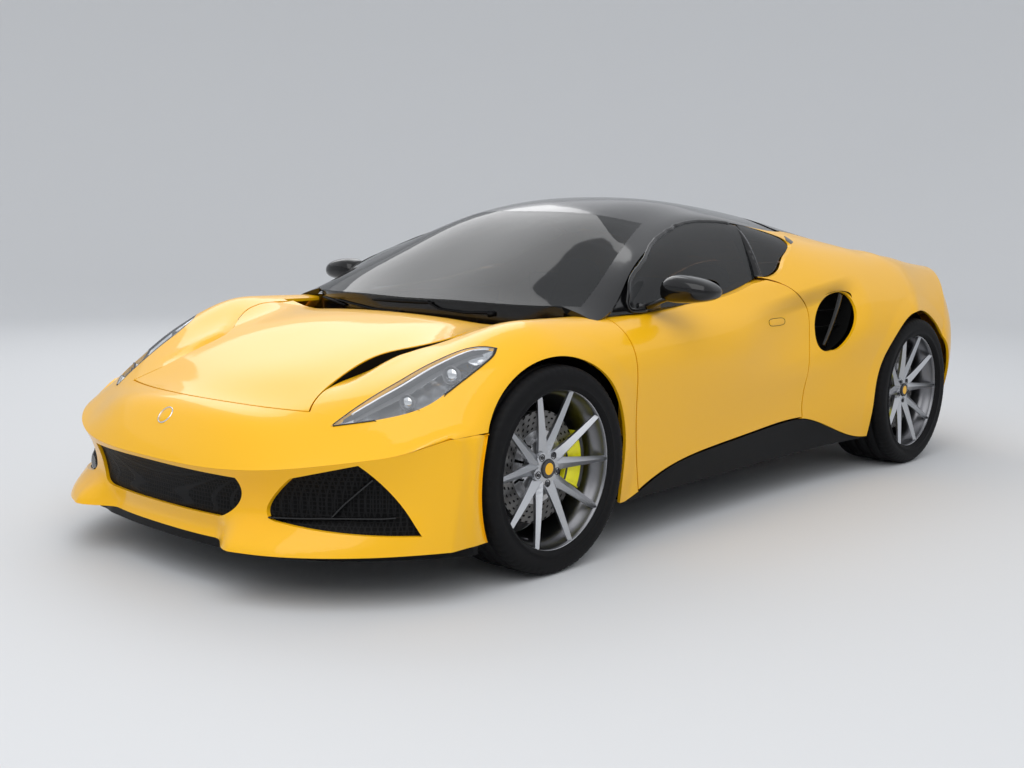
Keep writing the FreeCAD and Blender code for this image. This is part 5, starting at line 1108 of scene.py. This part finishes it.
def wipers():
    """Two wipers at rest on the cowl: tapered arms on round pivots, and slim blades."""
    skin = Skin("cowl", "windscreen")
    arms, blades = [], []
    for pixels in WIPER_ARM_PIXELS:
        path = rounded(skin.traced(pixels, 0.008, WIPER_STEP_PIXELS), 24)
        arms += swept(path, oval(0.0085, 0.0045, 12), scale=np.linspace(1.2, 0.55, 24))
        arms += aimed(turned(WIPER_PIVOT_STEPS, 24), path[0], (0, -0.3, 1))
    for pixels in WIPER_BLADE_PIXELS:
        path = rounded(skin.traced(pixels, 0.006, WIPER_STEP_PIXELS), 24)
        blades += swept(path, oval(0.0065), scale=np.sin(np.linspace(0.35, math.pi - 0.35, 24)) ** 0.5)
    piece("wiper_arms", arms + blades, PLASTIC, "body", ["wipers"])


# Bars in each corner intake: name, width and line in the photograph.
CORNER_BARS = (
    ("corner_blade", 0.026, ((271, 517), (300, 518), (330, 518), (383, 518), (396, 517))),
    ("corner_fin", 0.020, ((331, 518), (345, 504), (360, 491), (374, 479))),
)
CORNER_THICKNESS = 0.004


def grille_blades():
    """A blade and a slanting fin in each corner intake: thin bars along lines of the photograph."""
    skin = Skin("front_grilles")
    for name, width, pixels in CORNER_BARS:
        path = skin.traced(pixels, CORNER_THICKNESS)
        both(name, swept(path, bar_section(width, CORNER_THICKNESS), smooth=False), BLACK)


# Bare badges: the nose's pixel and (depth, radius) steps, and the (y, z) corners of the pillar's.
NOSE_BADGE_PIXEL = (167, 415)
BADGE_FACE_STEPS = ((0.0, 0.027), (0.0012, 0.026), (0.0022, 0.012), (0.0024, 0.0))
BADGE_RIM_STEPS = ((-0.001, 0.031), (0.0018, 0.0305), (0.0024, 0.0285), (0.0012, 0.0268), (-0.001, 0.0268))
PILLAR_BADGE_CORNERS = ((0.602, 1.066), (0.602, 1.041), (0.531, 1.033))


def badges():
    """A bare round badge with a bright rim on the nose, and a bare rounded triangle on each rear pillar."""
    place, normal, _, _ = PANELS.tree.ray_cast(CAMERA_PLACE, sight(NOSE_BADGE_PIXEL))
    normal = normal if normal.z > 0 else -normal
    place, normal = (0.0, place.y, place.z), (0.0, normal.y, normal.z)
    piece("nose_badge", aimed(turned(BADGE_FACE_STEPS, 48), place, normal), PAINT)
    piece("nose_badge_rim", aimed(turned(BADGE_RIM_STEPS, 48), place, normal), STEEL)
    outline = rounded([(OUTSIDE, y, z) for y, z in PILLAR_BADGE_CORNERS], 36, closed=True)
    ring = Skin("rear_body", "roof").dropped(outline, INWARDS, 0.0006)
    both("pillar_badge", crowned_plate(ring, (1.0, 0.95, 0.6, 0.0), (0.0016, 0, 0.001)), BLACK)


# The rear lid's slats: their places along the car, half length, sweep, lift and section.
LOUVRE_STATIONS = (0.95, 1.02, 1.09, 1.16, 1.225)
LOUVRE_HALF = 0.40
LOUVRE_SWEEP = 0.03
LOUVRE_LIFT = 0.004
LOUVRE_SECTION = ((-0.024, -0.005), (0.020, 0.0005), (0.024, 0.0035), (-0.018, -0.001))


def lid_louvres():
    """Slats across the rear lid, swept forward as the square of the distance from the middle."""
    skin = Skin("rear_lid")
    x = np.linspace(-LOUVRE_HALF, LOUVRE_HALF, 41)
    slats = []
    for y in LOUVRE_STATIONS:
        start = places_at(x, y - LOUVRE_SWEEP * (x / LOUVRE_HALF) ** 2, OUTSIDE)
        slats += swept(skin.dropped(start, DOWN, LOUVRE_LIFT), LOUVRE_SECTION, smooth=False)
    piece("lid_louvres", slats, PLASTIC, "rear_lid")


# Patches on the tail: the span of x and of z, and how far the patch leans outwards for each metre of height.
TAIL_BAND = ((-0.47, 0.47), (0.672, 0.756), 0.0)
TAIL_VALANCE = ((-0.60, 0.60), (0.285, 0.375), 0.0)
REAR_OUTLET = ((0.635, 0.705), (0.40, 0.61), 0.30)
PATCH_LIFT = 0.0012
PATCH_EDGE_SINK = 0.001


def tail_patch(skin, across, heights, lean):
    """A patch laid on the tail from behind: rows of places on the skin, the first and last sunk into it."""
    rows = []
    for z in np.linspace(*heights, 12):
        x = np.linspace(*across, 61) + lean * (z - heights[0])
        lift = PATCH_LIFT if heights[0] < z < heights[1] else -PATCH_EDGE_SINK
        row = skin.dropped(places_at(x, BEHIND, z), FORWARDS, lift)
        row = row[np.argsort(row[:, 0])]
        rows.append(places_at(x, np.interp(x, row[:, 0], row[:, 1]), z))
    return grid(np.stack(rows))


def tail_details():
    """The black mesh band between the tail lamps, the lower black valance and an outlet in each rear corner."""
    skin = Skin("rear_bumper")
    piece("tail_band", tail_patch(skin, *TAIL_BAND), MESH)
    piece("tail_valance", tail_patch(skin, *TAIL_VALANCE), PLASTIC)
    both("rear_outlet", tail_patch(skin, *REAR_OUTLET), MESH)


# A door's inner trim: where its rays start, the card's y and z, and the armrest and pull as places (x from the
# card, y, z).
CABIN_X = 0.45
CARD_Y = np.linspace(-0.70, 0.26, 60)
CARD_Z = np.linspace(0.30, 0.80, 40)
CARD_LIFT = 0.003
ARMREST_PATH = ((0, -0.42, 0.56), (-0.035, -0.30, 0.575), (-0.04, 0.0, 0.58), (0, 0.14, 0.575))
PULL_PATH = ((0, -0.34, 0.68), (-0.03, -0.31, 0.69), (-0.03, -0.20, 0.70), (0, -0.17, 0.70))


def door_cards():
    """The soft black trim laid on each door's inner face, with an armrest and a bright pull handle."""
    z, y = np.meshgrid(CARD_Z, CARD_Y, indexing="ij")
    rows = Skin("door_left").met(places_at(CABIN_X, y, z), OUTWARDS, CARD_LIFT)
    missed = np.isnan(rows[..., 0])
    rows[missed] = places_at(np.nanmedian(rows[..., 0]), y, z)[missed]
    both("door_card", grid(rows), TRIM_CLOTH, "door_SIDE")
    card_x = float(np.median(rows[16:22, 20:40, 0]))
    armrest, pull = (np.array(path) + (card_x, 0, 0) for path in (ARMREST_PATH, PULL_PATH))
    both("door_armrest", swept(rounded(armrest, 30), oval(0.022, 0.030, 16)), LEATHER, "door_SIDE")
    both("door_pull", swept(rounded(pull, 24), oval(0.007, 0.010, 12)), STEEL, "door_SIDE")


PANELS = Skin("nose_panel", "front_bumper", "hood", "front_fender_left", "door_left", "rear_body",
              "rear_bumper")

wheels()
headlamps()
pillar_covers()
side_intakes()
door_handles()
hood_vents()
seats()
window_trims()
mirrors()
wipers()
grille_blades()
badges()
lid_louvres()
tail_details()
door_cards()

dress_nodes()
stage_floor()
stage_light()
camera()
bpy.context.scene.view_settings.view_transform = "Standard"
